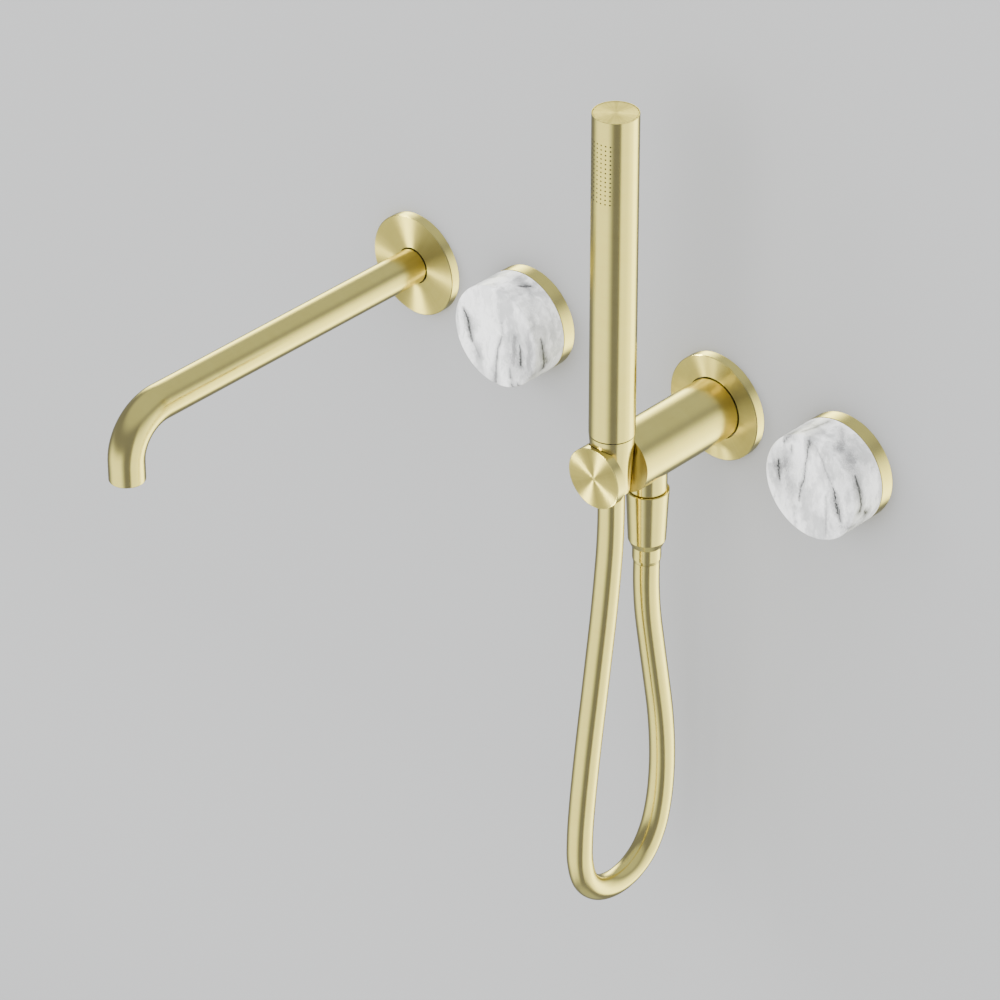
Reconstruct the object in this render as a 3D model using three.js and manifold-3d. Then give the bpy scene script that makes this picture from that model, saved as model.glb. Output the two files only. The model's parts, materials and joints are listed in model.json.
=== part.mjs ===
// Wall mounted bath and shower faucet: spout, two marble knob mixers, and a hand shower on an arm with its hose.
// Millimetres. The origin is on the wall, at the centre of the shower arm. +X is to the right, +Y into the wall, +Z up.
import * as THREE from 'three';
import { mergeVertices } from 'three/addons/utils/BufferGeometryUtils.js';
import Module from 'manifold-3d';

const wasm = await Module();
wasm.setup();

// ---- driving dimensions
const SPOUT_X = -221.5;
const BATH_X = -135.3;
const SHOWER_X = 88.2;

const GAP = 0.35; // between pieces that touch
const LARGE_SIDES = 32;
const MIDDLE_SIDES = 20;
const SMALL_SIDES = 16;

const COVER_THICKNESS = 5.6;
const COVER_RIM = 3.4;
const COVER_RECESS = 2.6;
const EDGE_BEVEL = 0.5;

const SPOUT_COVER_RADIUS = 30;
const SPOUT_RADIUS = 10.18;
const SPOUT_BORE = 8.7;
const SPOUT_REACH = 227.3; // wall to the outlet's centre
const SPOUT_BEND = 25.7; // radius of the bend at the tube's centre
const SPOUT_DROP = 36.8; // tube centre to the outlet's end
const SPOUT_STEPS = 30;

const ARM_COVER_RADIUS = 30.6;
const ARM_RADIUS = 17.4;
const ARM_REACH = 101.1;
const ARM_SOCKET = 9.4;
const WATERWAY = 5;

const WALL_GAP = 0.6; // the tube and the arm stop this far in front of the wall
const THREAD_RADIUS = 10.4; // G1/2 outside thread, as a plain cylinder
const THREAD_END = 24;
const NIPPLE_BORE = 4.5;
const NIPPLE_FRONT = -22;
const ORING_Y = -18;
const ORING_SECTION = 0.75;
const SCREW_Y = -11.5;
const SCREW_RADIUS = 1.9;
const SCREW_HOLE = 2.25;

const KNOB_RADIUS = 30.1;
const KNOB_FRONT = -31.3;
const KNOB_EDGE = 1.2;
const KNOB_POCKET = 20;
const KNOB_POCKET_FLOOR = -22;
const KNOB_SCREW_Y = -12.8;
const TRIM_THICKNESS = 7.9;
const TRIM_HOLE = 22.3;
const SLEEVE_RADIUS = 21.9;
const BODY_RADIUS = 20.5;
const BODY_FRONT = 0.5;
const BODY_BACK = 54;
const BODY_SEAT = 30;
const PORT_Y = 40;
const PORT_RADIUS = 12.5;
const PORT_REACH = 34;
const PORT_BORE = 9.3;
const CARTRIDGE_RADIUS = 16.2;
const DISC_RADIUS = 13.6;
const FLOW_HOLE = 2.6;
const INLET_OFFSET = 8;
const OUTLET_OFFSET = 9.5;

const HANDSET_Y = -86.9;
const HANDSET_RADIUS = 12.35;
const HANDSET_BORE = 11.1;
const HANDSET_TOP = 211.5;
const HANDSET_SEAM = 22.6;
const NUT_TOP_RADIUS = 12.2;
const NUT_BOTTOM = -12.5;
const NUT_BOTTOM_RADIUS = 9.7;
const SLOT_FRONT = -95.7;
const SLOT_BACK = -78.1;
const NOZZLES_LOW = 158;
const NOZZLES_HIGH = 202;

const OUTLET_Y = -57.9;
const OUTLET_RADIUS = 10.45;
const OUTLET_TOP = -13.4;
const HOSE_NUT_TOP = -25.9;
const HOSE_NUT_BOTTOM = -61.3;
const HOSE_NUT_LEDGE = -59.5;
const FERRULE_RADIUS = 7.85;
const FERRULE_END = -71;

const HOSE_RADIUS = 7.2;
const HOSE_SIDES = 10;
const HOSE_STEPS = 42;
// centre line of the hose in the plane x = 0, from the outlet to the hand shower: [y, z]
const HOSE_ROUTE = [
  [-57.9, -71.3], [-57.8, -86], [-56.4, -104], [-52.8, -127], [-48.5, -152], [-44.5, -177], [-42.5, -199],
  [-42.4, -219], [-44.5, -238], [-49, -253.5], [-57, -265.6], [-68.3, -272.6], [-81.8, -274.2], [-95, -269.8],
  [-104.4, -260], [-108.9, -245], [-109.3, -228], [-107.8, -208], [-105.3, -186], [-102.1, -162],
  [-98.6, -138], [-95.2, -114], [-91.9, -90], [-89.2, -66], [-87.6, -48], [-87, -34], [-86.9, -22],
  [-86.9, -13.8],
];

// ---- solids
function volumeSign(position, index) {
  const a = new THREE.Vector3();
  const b = new THREE.Vector3();
  const c = new THREE.Vector3();
  let volume = 0;
  for (let i = 0; i < index.length; i += 3) {
    a.fromBufferAttribute(position, index[i]);
    b.fromBufferAttribute(position, index[i + 1]);
    c.fromBufferAttribute(position, index[i + 2]);
    volume += a.dot(b.cross(c));
  }
  return Math.sign(volume);
}

/** A closed geometry as a manifold that faces out. */
function solid(geometry) {
  geometry.deleteAttribute('normal');
  geometry.deleteAttribute('uv');
  const merged = mergeVertices(geometry, 1e-4);
  const index = [];
  for (let i = 0; i < merged.index.count; i += 3) {
    const [a, b, c] = [0, 1, 2].map((k) => merged.index.getX(i + k));
    if (a !== b && b !== c && c !== a) index.push(a, b, c);
  }
  if (volumeSign(merged.attributes.position, index) < 0) index.reverse();
  return new wasm.Manifold(new wasm.Mesh({
    numProp: 3,
    vertProperties: new Float32Array(merged.attributes.position.array),
    triVerts: new Uint32Array(index),
  }));
}

function geometryOf(manifold) {
  const mesh = manifold.getMesh();
  const geometry = new THREE.BufferGeometry();
  geometry.setAttribute('position', new THREE.BufferAttribute(mesh.vertProperties, 3));
  geometry.setIndex(new THREE.BufferAttribute(mesh.triVerts, 1));
  geometry.computeVertexNormals();
  return geometry;
}

const ALONG = {
  y: (geometry) => geometry,
  z: (geometry) => geometry.rotateX(Math.PI / 2),
  x: (geometry) => geometry.rotateZ(-Math.PI / 2),
};

/** A turned solid. The outline is [radius, place along the axis], and it closes on itself or on the axis. */
function turned(outline, sides, axis = 'y', at = [0, 0, 0]) {
  const closed = outline[0][0] === 0 ? outline : [...outline, outline[0]];
  const geometry = new THREE.LatheGeometry(closed.map(([r, h]) => new THREE.Vector2(r, h)), sides);
  return solid(ALONG[axis](geometry).translate(...at));
}

function ring(inner, outer, from, to, sides, axis, at) {
  return turned([[inner, from], [outer, from], [outer, to], [inner, to]], sides, axis, at);
}

function rod(radius, from, to, sides, axis, at) {
  return turned([[0, from], [radius, from], [radius, to], [0, to]], sides, axis, at);
}

/** A round tube or rod swept along a curve. A full circle gets two sides for each of its curve segments. */
function swept(curve, radius, bore, sides, steps) {
  const section = new THREE.Shape().absarc(0, 0, radius, 0, 2 * Math.PI);
  if (bore) section.holes.push(new THREE.Path().absarc(0, 0, bore, 0, 2 * Math.PI, true));
  return solid(new THREE.ExtrudeGeometry(section, { curveSegments: sides / 2, steps, extrudePath: curve }));
}

// ---- materials
const FINISHES = {
  brass: { color: 0xc9bf86, roughness: 0.28, metalness: 1 },
  rawBrass: { color: 0xb9a05c, roughness: 0.4, metalness: 1 },
  marble: { color: 0xe3e3e3, roughness: 0.35, metalness: 0 },
  steel: { color: 0xb8bcc0, roughness: 0.3, metalness: 1 },
  rubber: { color: 0x1c1c1e, roughness: 0.8, metalness: 0 },
  plastic: { color: 0xe8e6df, roughness: 0.5, metalness: 0 },
  darkPlastic: { color: 0x4a4a40, roughness: 0.6, metalness: 0 },
  ceramic: { color: 0xf2f0ea, roughness: 0.15, metalness: 0 },
};

const faucet = new THREE.Group();

function place(group, name, manifold, finish) {
  const mesh = new THREE.Mesh(geometryOf(manifold), new THREE.MeshStandardMaterial(FINISHES[finish]));
  mesh.name = name;
  group.add(mesh);
}

function groupAt(x) {
  const group = new THREE.Group();
  group.position.x = x;
  faucet.add(group);
  return group;
}

// ---- pieces that more than one fixture has
/** Round cover plate with a hollow back. */
function coverPlate(radius, hole) {
  return turned([
    [hole, -COVER_THICKNESS], [radius - EDGE_BEVEL, -COVER_THICKNESS], [radius, EDGE_BEVEL - COVER_THICKNESS],
    [radius, 0], [radius - COVER_RIM, 0], [radius - COVER_RIM, -COVER_RECESS], [hole, -COVER_RECESS],
  ], LARGE_SIDES);
}

/** Wall nipple: a spigot with grooves for the O-ring and the grub screw, and a thread behind the wall. */
function wallNipple(spigot, sides) {
  const oringFloor = spigot - 1.8;
  const screwFloor = spigot - 1.3;
  const half = { oring: 1.3, screw: 2.1 };
  return turned([
    [NIPPLE_BORE, NIPPLE_FRONT], [spigot, NIPPLE_FRONT],
    [spigot, ORING_Y - half.oring], [oringFloor, ORING_Y - half.oring],
    [oringFloor, ORING_Y + half.oring], [spigot, ORING_Y + half.oring],
    [spigot, SCREW_Y - half.screw], [screwFloor, SCREW_Y - half.screw],
    [screwFloor, SCREW_Y + half.screw], [spigot, SCREW_Y + half.screw],
    [spigot, 2], [THREAD_RADIUS, 2], [THREAD_RADIUS, THREAD_END], [NIPPLE_BORE, THREAD_END],
  ], sides);
}

function nippleRing(spigot, sides) {
  const torus = new THREE.TorusGeometry(spigot - 0.6, ORING_SECTION, 8, sides).rotateX(Math.PI / 2);
  return solid(torus.translate(0, ORING_Y, 0));
}

/** Grub screw that stands below its axis, with a hexagon socket in its lower end. */
function grubScrew(y, top, bottom) {
  const socketDepth = 1.2;
  return rod(SCREW_RADIUS, bottom, top, 12, 'z', [0, y, 0])
    .subtract(rod(1.1, bottom - 1, bottom + socketDepth, 6, 'z', [0, y, 0]));
}

function screwHole(y, top, bottom) {
  return rod(SCREW_HOLE, bottom, top, 12, 'z', [0, y, 0]);
}

// ---- bath spout
/** Centre line of the spout: straight out of the wall, a quarter bend, and down to the outlet. */
class SpoutLine extends THREE.Curve {
  getPoint(t, target = new THREE.Vector3()) {
    const run = SPOUT_REACH - SPOUT_BEND - WALL_GAP;
    const arc = SPOUT_BEND * Math.PI / 2;
    const fall = SPOUT_DROP - SPOUT_BEND;
    const s = t * (run + arc + fall);
    if (s <= run) return target.set(0, -WALL_GAP - s, 0);
    if (s >= run + arc) return target.set(0, -SPOUT_REACH, run + arc - s - SPOUT_BEND);
    const angle = (s - run) / SPOUT_BEND;
    return target.set(
      0, -(WALL_GAP + run + SPOUT_BEND * Math.sin(angle)), SPOUT_BEND * (Math.cos(angle) - 1),
    );
  }
}

function aeratorInsert(at) {
  const holes = [rod(1.3, -36, -29, 6, 'z', at)];
  for (let k = 0; k < 6; k += 1) {
    const turn = k * Math.PI / 3;
    holes.push(rod(1.3, -36, -29, 6, 'z', [4.2 * Math.cos(turn), at[1] + 4.2 * Math.sin(turn), 0]));
  }
  return holes.reduce((disc, hole) => disc.subtract(hole), rod(6.5, -34.9, -30.5, SMALL_SIDES, 'z', at));
}

function addSpout() {
  const group = groupAt(SPOUT_X);
  const outlet = [0, -SPOUT_REACH, 0];
  const spigot = 8.2;
  const tube = swept(new SpoutLine(), SPOUT_RADIUS, SPOUT_BORE, SMALL_SIDES, SPOUT_STEPS)
    .subtract(screwHole(SCREW_Y, -5, -12));
  place(group, 'spout_tube', tube, 'brass');
  place(group, 'spout_cover_plate', coverPlate(SPOUT_COVER_RADIUS, SPOUT_RADIUS + 0.4), 'brass');
  place(group, 'spout_cover_gasket', ring(13, 26.1, -2.2, 0, MIDDLE_SIDES), 'rubber');
  place(group, 'spout_wall_nipple', wallNipple(spigot, SMALL_SIDES), 'rawBrass');
  place(group, 'spout_nipple_oring', nippleRing(spigot, SMALL_SIDES), 'rubber');
  place(group, 'spout_grub_screw', grubScrew(SCREW_Y, -7.3, -9.9), 'steel');
  const housing = turned(
    [[6.9, -27.5], [8.2, -27.5], [8.2, -36.5], [6.1, -36.5], [6.1, -35.3], [6.9, -35.3]],
    SMALL_SIDES, 'z', outlet,
  );
  place(group, 'aerator_housing', housing, 'darkPlastic');
  place(group, 'aerator_insert', aeratorInsert(outlet), 'plastic');
  place(group, 'aerator_washer', ring(5.6, 8.1, -27.1, -25.9, SMALL_SIDES, 'z', outlet), 'rubber');
}

// ---- knob mixers
function marbleKnob() {
  const back = -TRIM_THICKNESS - GAP;
  return turned([
    [0, KNOB_FRONT], [KNOB_RADIUS - KNOB_EDGE, KNOB_FRONT],
    [KNOB_RADIUS - KNOB_EDGE * 0.3, KNOB_FRONT + KNOB_EDGE * 0.3], [KNOB_RADIUS, KNOB_FRONT + KNOB_EDGE],
    [KNOB_RADIUS, back - 0.2], [KNOB_RADIUS - 0.2, back], [KNOB_POCKET, back],
    [KNOB_POCKET, KNOB_POCKET_FLOOR], [0, KNOB_POCKET_FLOOR],
  ], LARGE_SIDES).subtract(screwHole(KNOB_SCREW_Y, -15, -32));
}

/** Brass cup bonded into the knob, with the socket for the cartridge's stem. */
function knobInsert() {
  return turned([
    [0, -21.6], [19.6, -21.6], [19.6, -9], [17, -9], [17, -17], [9, -17], [9, -8.8], [5.4, -8.8],
    [5.4, -19.4], [0, -19.4],
  ], MIDDLE_SIDES).subtract(screwHole(KNOB_SCREW_Y, -3, -22));
}

function cartridgeHousing() {
  return turned([
    [5.5, -4], [12, -4], [12, 8.2], [CARTRIDGE_RADIUS, 8.2], [CARTRIDGE_RADIUS, 29.6], [14.2, 29.6],
    [14.2, 10.2], [10, 10.2], [10, 0], [5.5, 0],
  ], MIDDLE_SIDES);
}

function cartridgeStem() {
  return turned([
    [0, -19], [5, -19], [5, 0.4], [9.6, 0.4], [9.6, 10.6], [13.8, 10.6], [13.8, 14], [0, 14],
  ], MIDDLE_SIDES);
}

const FLOW_HOLES = [[-INLET_OFFSET, 0], [INLET_OFFSET, 0], [0, OUTLET_OFFSET]];

/** A disc with the three holes for hot, cold and mixed water. */
function flowDisc(radius, from, to) {
  const bores = FLOW_HOLES.map(([x, z]) => rod(FLOW_HOLE, from - 1, to + 1, 8, 'y', [x, 0, z]));
  return bores.reduce((disc, bore) => disc.subtract(bore), rod(radius, from, to, MIDDLE_SIDES));
}

/** The moving disc's pocket joins the holes that it lies over. */
function movingDisc() {
  const pocket = rod(6, 16.5, 19, 10, 'y', [0, 0, 4]);
  return rod(DISC_RADIUS, 14.3, 18.3, MIDDLE_SIDES).subtract(pocket);
}

function valveBody() {
  const ports = [['x', -PORT_REACH], ['x', PORT_REACH], ['z', PORT_REACH]];
  const at = [0, PORT_Y, 0];
  let body = rod(BODY_RADIUS, BODY_FRONT, BODY_BACK, MIDDLE_SIDES);
  for (const [axis, reach] of ports) {
    body = body.add(rod(PORT_RADIUS, Math.min(0, reach), Math.max(0, reach), MIDDLE_SIDES, axis, at));
  }
  body = body.subtract(rod(18.3, 0, 8, MIDDLE_SIDES)).subtract(rod(16.6, 7, BODY_SEAT, MIDDLE_SIDES));
  for (const [axis, reach] of ports) {
    const side = Math.sign(reach);
    const mouth = [22 * side, (PORT_REACH + 1) * side].sort((a, b) => a - b);
    const throat = [(axis === 'x' ? INLET_OFFSET : OUTLET_OFFSET) * side, 23 * side].sort((a, b) => a - b);
    body = body.subtract(rod(PORT_BORE, ...mouth, MIDDLE_SIDES, axis, at));
    body = body.subtract(rod(4, ...throat, 10, axis, at));
  }
  for (const [x, z] of FLOW_HOLES) body = body.subtract(rod(FLOW_HOLE, 29, PORT_Y, 8, 'y', [x, 0, z]));
  return body;
}

function addMixer(prefix, x) {
  const group = groupAt(x);
  place(group, `${prefix}_marble_knob`, marbleKnob(), 'marble');
  place(group, `${prefix}_knob_insert`, knobInsert(), 'rawBrass');
  place(group, `${prefix}_knob_grub_screw`, grubScrew(KNOB_SCREW_Y, -5.4, -10.6), 'steel');
  const trim = turned([
    [TRIM_HOLE, -TRIM_THICKNESS], [KNOB_RADIUS - 0.2, -TRIM_THICKNESS], [KNOB_RADIUS, 0.2 - TRIM_THICKNESS],
    [KNOB_RADIUS, 0], [KNOB_RADIUS - 3, 0], [KNOB_RADIUS - 3, -3], [TRIM_HOLE, -3],
  ], LARGE_SIDES);
  place(group, `${prefix}_trim_ring`, trim, 'brass');
  place(group, `${prefix}_trim_gasket`, ring(22.6, 26.5, -2.6, 0, MIDDLE_SIDES), 'rubber');
  place(group, `${prefix}_trim_sleeve`, ring(BODY_RADIUS + 0.4, SLEEVE_RADIUS, -7, 8, LARGE_SIDES), 'steel');
  place(group, `${prefix}_valve_body`, valveBody(), 'rawBrass');
  place(group, `${prefix}_retaining_nut`, ring(12.4, 17.8, 1, 7.8, MIDDLE_SIDES), 'rawBrass');
  place(group, `${prefix}_cartridge_housing`, cartridgeHousing(), 'plastic');
  place(group, `${prefix}_cartridge_stem`, cartridgeStem(), 'rawBrass');
  place(group, `${prefix}_moving_disc`, movingDisc(), 'ceramic');
  place(group, `${prefix}_fixed_disc`, flowDisc(DISC_RADIUS, 18.6, 23), 'ceramic');
  place(group, `${prefix}_cartridge_base`, flowDisc(13.8, 23.4, 29.5), 'darkPlastic');
}

// ---- shower arm, with the holder at its front and the outlet below
const handsetAxis = [0, HANDSET_Y, 0];
const outletAxis = [0, OUTLET_Y, 0];

/** Radius of the hand shower's conical nut at a height. */
function nutRadius(z) {
  const taper = (NUT_TOP_RADIUS - NUT_BOTTOM_RADIUS) / (HANDSET_SEAM - NUT_BOTTOM);
  return NUT_BOTTOM_RADIUS + (z - NUT_BOTTOM) * taper;
}

function bracketArm() {
  const front = -ARM_REACH;
  const over = ARM_RADIUS + 1;
  const slotDepth = ARM_RADIUS + 3;
  const slot = new THREE.BoxGeometry(slotDepth, SLOT_BACK - SLOT_FRONT, 2 * over)
    .translate(slotDepth / 2, (SLOT_BACK + SLOT_FRONT) / 2, 0);
  const cone = turned([
    [0, -over], [nutRadius(-over) + 0.4, -over], [nutRadius(over) + 0.4, over], [0, over],
  ], MIDDLE_SIDES, 'z', handsetAxis);
  const cuts = [
    rod(ARM_SOCKET, -24, 0, MIDDLE_SIDES),
    rod(WATERWAY, OUTLET_Y - WATERWAY, -23, SMALL_SIDES),
    rod(WATERWAY, -9, 0, SMALL_SIDES, 'z', outletAxis),
    rod(8.4, -14, -8.2, MIDDLE_SIDES, 'z', outletAxis),
    rod(OUTLET_RADIUS + GAP, -over, OUTLET_TOP + GAP, MIDDLE_SIDES, 'z', outletAxis),
    screwHole(SCREW_Y, -6, -over),
    cone,
    solid(slot),
  ];
  const blank = turned([
    [0, front], [ARM_RADIUS - EDGE_BEVEL, front], [ARM_RADIUS, front + EDGE_BEVEL],
    [ARM_RADIUS, -WALL_GAP], [0, -WALL_GAP],
  ], LARGE_SIDES);
  return cuts.reduce((arm, cut) => arm.subtract(cut), blank);
}

function addArm() {
  const group = groupAt(0);
  const spigot = 9;
  place(group, 'arm_cover_plate', coverPlate(ARM_COVER_RADIUS, ARM_RADIUS + 0.4), 'brass');
  place(group, 'arm_cover_gasket', ring(19.5, 26.6, -2.2, 0, MIDDLE_SIDES), 'rubber');
  place(group, 'arm_wall_nipple', wallNipple(spigot, MIDDLE_SIDES), 'rawBrass');
  place(group, 'arm_nipple_oring', nippleRing(spigot, MIDDLE_SIDES), 'rubber');
  place(group, 'bracket_arm', bracketArm(), 'brass');
  place(group, 'arm_grub_screw', grubScrew(SCREW_Y, -8.1, -16.4), 'steel');
  const outlet = turned([
    [WATERWAY, -8.6], [8, -8.6], [8, OUTLET_TOP], [OUTLET_RADIUS, OUTLET_TOP],
    [OUTLET_RADIUS, HOSE_NUT_TOP + GAP], [9.3, HOSE_NUT_TOP + GAP], [9.3, -35], [6.4, -35], [6.4, -20],
    [WATERWAY, -20],
  ], MIDDLE_SIDES, 'z', outletAxis);
  place(group, 'arm_outlet', outlet, 'brass');
  place(group, 'check_valve', ring(2.5, 6, -34.6, -20.6, SMALL_SIDES, 'z', outletAxis), 'plastic');
}

// ---- hose, with the pieces at its two ends
function addHose() {
  const group = groupAt(0);
  const lowerNut = turned([
    [9.7, HOSE_NUT_TOP], [11.5, HOSE_NUT_TOP], [11.75, HOSE_NUT_TOP - 0.3], [11.3, -34], [10.3, -57.2],
    [8.5, HOSE_NUT_BOTTOM], [FERRULE_RADIUS + GAP, HOSE_NUT_BOTTOM], [FERRULE_RADIUS + GAP, HOSE_NUT_LEDGE],
    [7.3, HOSE_NUT_LEDGE], [7.3, -40], [9.7, -40],
  ], MIDDLE_SIDES, 'z', outletAxis);
  place(group, 'lower_hose_nut', lowerNut, 'brass');
  place(group, 'lower_hose_washer', ring(5, 9.4, -37.4, -35.4, SMALL_SIDES, 'z', outletAxis), 'rubber');
  const lowerFerrule = turned([
    [4.2, -37.8], [9.2, -37.8], [9.2, -39.6], [6.9, -39.6], [6.9, HOSE_NUT_LEDGE - GAP],
    [FERRULE_RADIUS, HOSE_NUT_LEDGE - GAP], [FERRULE_RADIUS, FERRULE_END + 2],
    [FERRULE_RADIUS - 0.4, FERRULE_END], [4.2, FERRULE_END],
  ], MIDDLE_SIDES, 'z', outletAxis);
  place(group, 'lower_hose_ferrule', lowerFerrule, 'brass');
  const route = new THREE.CatmullRomCurve3(HOSE_ROUTE.map(([y, z]) => new THREE.Vector3(0, y, z)));
  place(group, 'shower_hose', swept(route, HOSE_RADIUS, 0, HOSE_SIDES, HOSE_STEPS), 'brass');
  const upperFerrule = turned(
    [[4.2, 10.4], [9.3, 10.4], [9.3, 8.6], [7.2, 8.6], [7.2, NUT_BOTTOM - 1], [4.2, NUT_BOTTOM - 1]],
    MIDDLE_SIDES, 'z', handsetAxis,
  );
  place(group, 'upper_hose_ferrule', upperFerrule, 'brass');
  const upperNut = turned([
    [9.8, HANDSET_SEAM - GAP], [NUT_TOP_RADIUS, HANDSET_SEAM - GAP], [NUT_BOTTOM_RADIUS, NUT_BOTTOM],
    [7.6, NUT_BOTTOM], [7.6, 8.2], [9.8, 8.2],
  ], MIDDLE_SIDES, 'z', handsetAxis);
  place(group, 'upper_hose_nut', upperNut, 'brass');
  place(group, 'upper_hose_washer', ring(5, 9.4, 10.8, 12.8, SMALL_SIDES, 'z', handsetAxis), 'rubber');
}

// ---- hand shower
/** Curved plate behind the spray holes, which face out of the wall. */
function nozzlePlate() {
  const half = 40 * Math.PI / 180;
  const middle = -Math.PI / 2;
  const section = new THREE.Shape()
    .absarc(0, 0, 10.7, middle - half, middle + half)
    .absarc(0, 0, 9.7, middle + half, middle - half, true);
  const depth = NOZZLES_HIGH - NOZZLES_LOW;
  const plate = new THREE.ExtrudeGeometry(section, { depth, curveSegments: 8, bevelEnabled: false });
  return solid(plate.translate(0, HANDSET_Y, NOZZLES_LOW));
}

function addHandset() {
  const group = groupAt(0);
  const connector = turned([
    [WATERWAY, 13.2], [9.4, 13.2], [9.4, 23.2], [10.7, 23.2], [10.7, 36], [7.3, 36], [7.3, 28], [WATERWAY, 28],
  ], MIDDLE_SIDES, 'z', handsetAxis);
  place(group, 'handset_connector', connector, 'rawBrass');
  place(group, 'flow_regulator', ring(2, 6.9, 28.4, 33, SMALL_SIDES, 'z', handsetAxis), 'plastic');
  place(group, 'handset_inner_tube', ring(5, 6.2, 36.4, 155, SMALL_SIDES, 'z', handsetAxis), 'plastic');
  const shell = turned([
    [HANDSET_BORE, HANDSET_SEAM], [HANDSET_RADIUS, HANDSET_SEAM], [HANDSET_RADIUS, HANDSET_TOP - 0.4],
    [HANDSET_RADIUS - 0.4, HANDSET_TOP], [11.8, HANDSET_TOP], [11.8, 209], [HANDSET_BORE, 209],
  ], LARGE_SIDES, 'z', handsetAxis);
  place(group, 'handset_tube', shell, 'brass');
  const cap = turned(
    [[0, HANDSET_TOP - 0.1], [11.45, HANDSET_TOP - 0.1], [11.45, 209.3], [10.7, 209.3], [10.7, 204], [0, 204]],
    LARGE_SIDES, 'z', handsetAxis,
  );
  place(group, 'handset_top_cap', cap, 'brass');
  place(group, 'nozzle_plate', nozzlePlate(), 'darkPlastic');
}

addSpout();
addMixer('bath', BATH_X);
addMixer('shower', SHOWER_X);
addArm();
addHose();
addHandset();

export default faucet;
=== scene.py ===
import json
import math

import bmesh
import bpy
import numpy as np
from mathutils import Matrix, Vector

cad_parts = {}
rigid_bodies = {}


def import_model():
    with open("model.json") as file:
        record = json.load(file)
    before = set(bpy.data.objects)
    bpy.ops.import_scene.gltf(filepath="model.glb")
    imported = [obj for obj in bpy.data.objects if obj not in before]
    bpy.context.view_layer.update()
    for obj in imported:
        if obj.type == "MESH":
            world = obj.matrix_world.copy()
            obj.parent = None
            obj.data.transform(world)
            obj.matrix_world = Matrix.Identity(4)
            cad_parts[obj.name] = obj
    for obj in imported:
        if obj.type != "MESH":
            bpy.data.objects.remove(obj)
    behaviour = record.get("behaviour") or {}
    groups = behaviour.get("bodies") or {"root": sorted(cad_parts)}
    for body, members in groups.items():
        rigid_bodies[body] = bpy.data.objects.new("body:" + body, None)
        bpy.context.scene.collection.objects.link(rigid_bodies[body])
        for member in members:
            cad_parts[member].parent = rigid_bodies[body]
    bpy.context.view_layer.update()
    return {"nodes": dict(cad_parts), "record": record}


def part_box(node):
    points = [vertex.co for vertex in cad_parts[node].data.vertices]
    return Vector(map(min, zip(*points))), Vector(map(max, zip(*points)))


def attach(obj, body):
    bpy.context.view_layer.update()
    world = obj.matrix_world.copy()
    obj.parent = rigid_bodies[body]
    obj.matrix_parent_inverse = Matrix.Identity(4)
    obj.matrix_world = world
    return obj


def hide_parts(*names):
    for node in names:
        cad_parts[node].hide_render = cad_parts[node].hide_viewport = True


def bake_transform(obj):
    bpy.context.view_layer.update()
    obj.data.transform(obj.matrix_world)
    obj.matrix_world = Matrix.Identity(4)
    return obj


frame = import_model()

# Looks of a wall mounted bath and shower faucet, in metres. The wall is the plane y = 0. As seen from the
# room, +X is to the right, +Y goes into the wall and +Z is up.
MM = 0.001
TAU = 2 * math.pi

# ---- driving values
# sides of a full turn, for large, middle and small round pieces
LARGE_SIDES = 144
MIDDLE_SIDES = 96
SMALL_SIDES = 64
# step of a rounded corner, angle from which an edge is sharp, and play between two fitted pieces
FILLET_STEP = math.radians(18)
CREASE = math.radians(32)
GAP = 0.35 * MM


# ---- camera, fitted to the edges that the photo shows
CAMERA_AZIMUTH = math.radians(42.97)
CAMERA_ELEVATION = math.radians(32.91)
CAMERA_ROLL = math.radians(-0.11)
CAMERA_DISTANCE = 2.7614
CAMERA_AIM = Vector((-0.0672, -0.1005, -0.0429))
CAMERA_LENS = 186.3
CAMERA_SENSOR = 36


def direction_of(azimuth, elevation):
    """Unit vector from the faucet towards an azimuth and an elevation, in radians."""
    flat = math.cos(elevation)
    return Vector((math.sin(azimuth) * flat, -math.cos(azimuth) * flat, math.sin(elevation)))


def make_camera():
    back = direction_of(CAMERA_AZIMUTH, CAMERA_ELEVATION)
    right = Vector((math.cos(CAMERA_AZIMUTH), math.sin(CAMERA_AZIMUTH), 0))
    right = Matrix.Rotation(CAMERA_ROLL, 3, back) @ right
    up = back.cross(right)
    data = bpy.data.cameras.new("camera")
    data.lens = CAMERA_LENS
    data.sensor_width = CAMERA_SENSOR
    data.clip_start = 0.05
    data.clip_end = 60
    camera = bpy.data.objects.new("camera", data)
    rotation = Matrix((right, up, back)).transposed()
    camera.matrix_world = Matrix.Translation(CAMERA_AIM + CAMERA_DISTANCE * back) @ rotation.to_4x4()
    bpy.context.scene.collection.objects.link(camera)
    bpy.context.scene.camera = camera


# ---- mesh work
ALONG = {"x": 0, "y": 1, "z": 2}


def quarter_turn(steps):
    """Cosine and sine of evenly spaced angles, from nothing to a quarter turn."""
    angles = [math.pi / 2 * k / steps for k in range(steps + 1)]
    return [(math.cos(angle), math.sin(angle)) for angle in angles]


def axis_frame(axis):
    """Unit vectors (up, side, along) for a turned piece. Its outline turns from up towards side."""
    if axis == "x":
        return Vector((0, 0, 1)), Vector((0, -1, 0)), Vector((1, 0, 0))
    if axis == "y":
        return Vector((0, 0, 1)), Vector((1, 0, 0)), Vector((0, 1, 0))
    return Vector((0, -1, 0)), Vector((1, 0, 0)), Vector((0, 0, 1))


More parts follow.
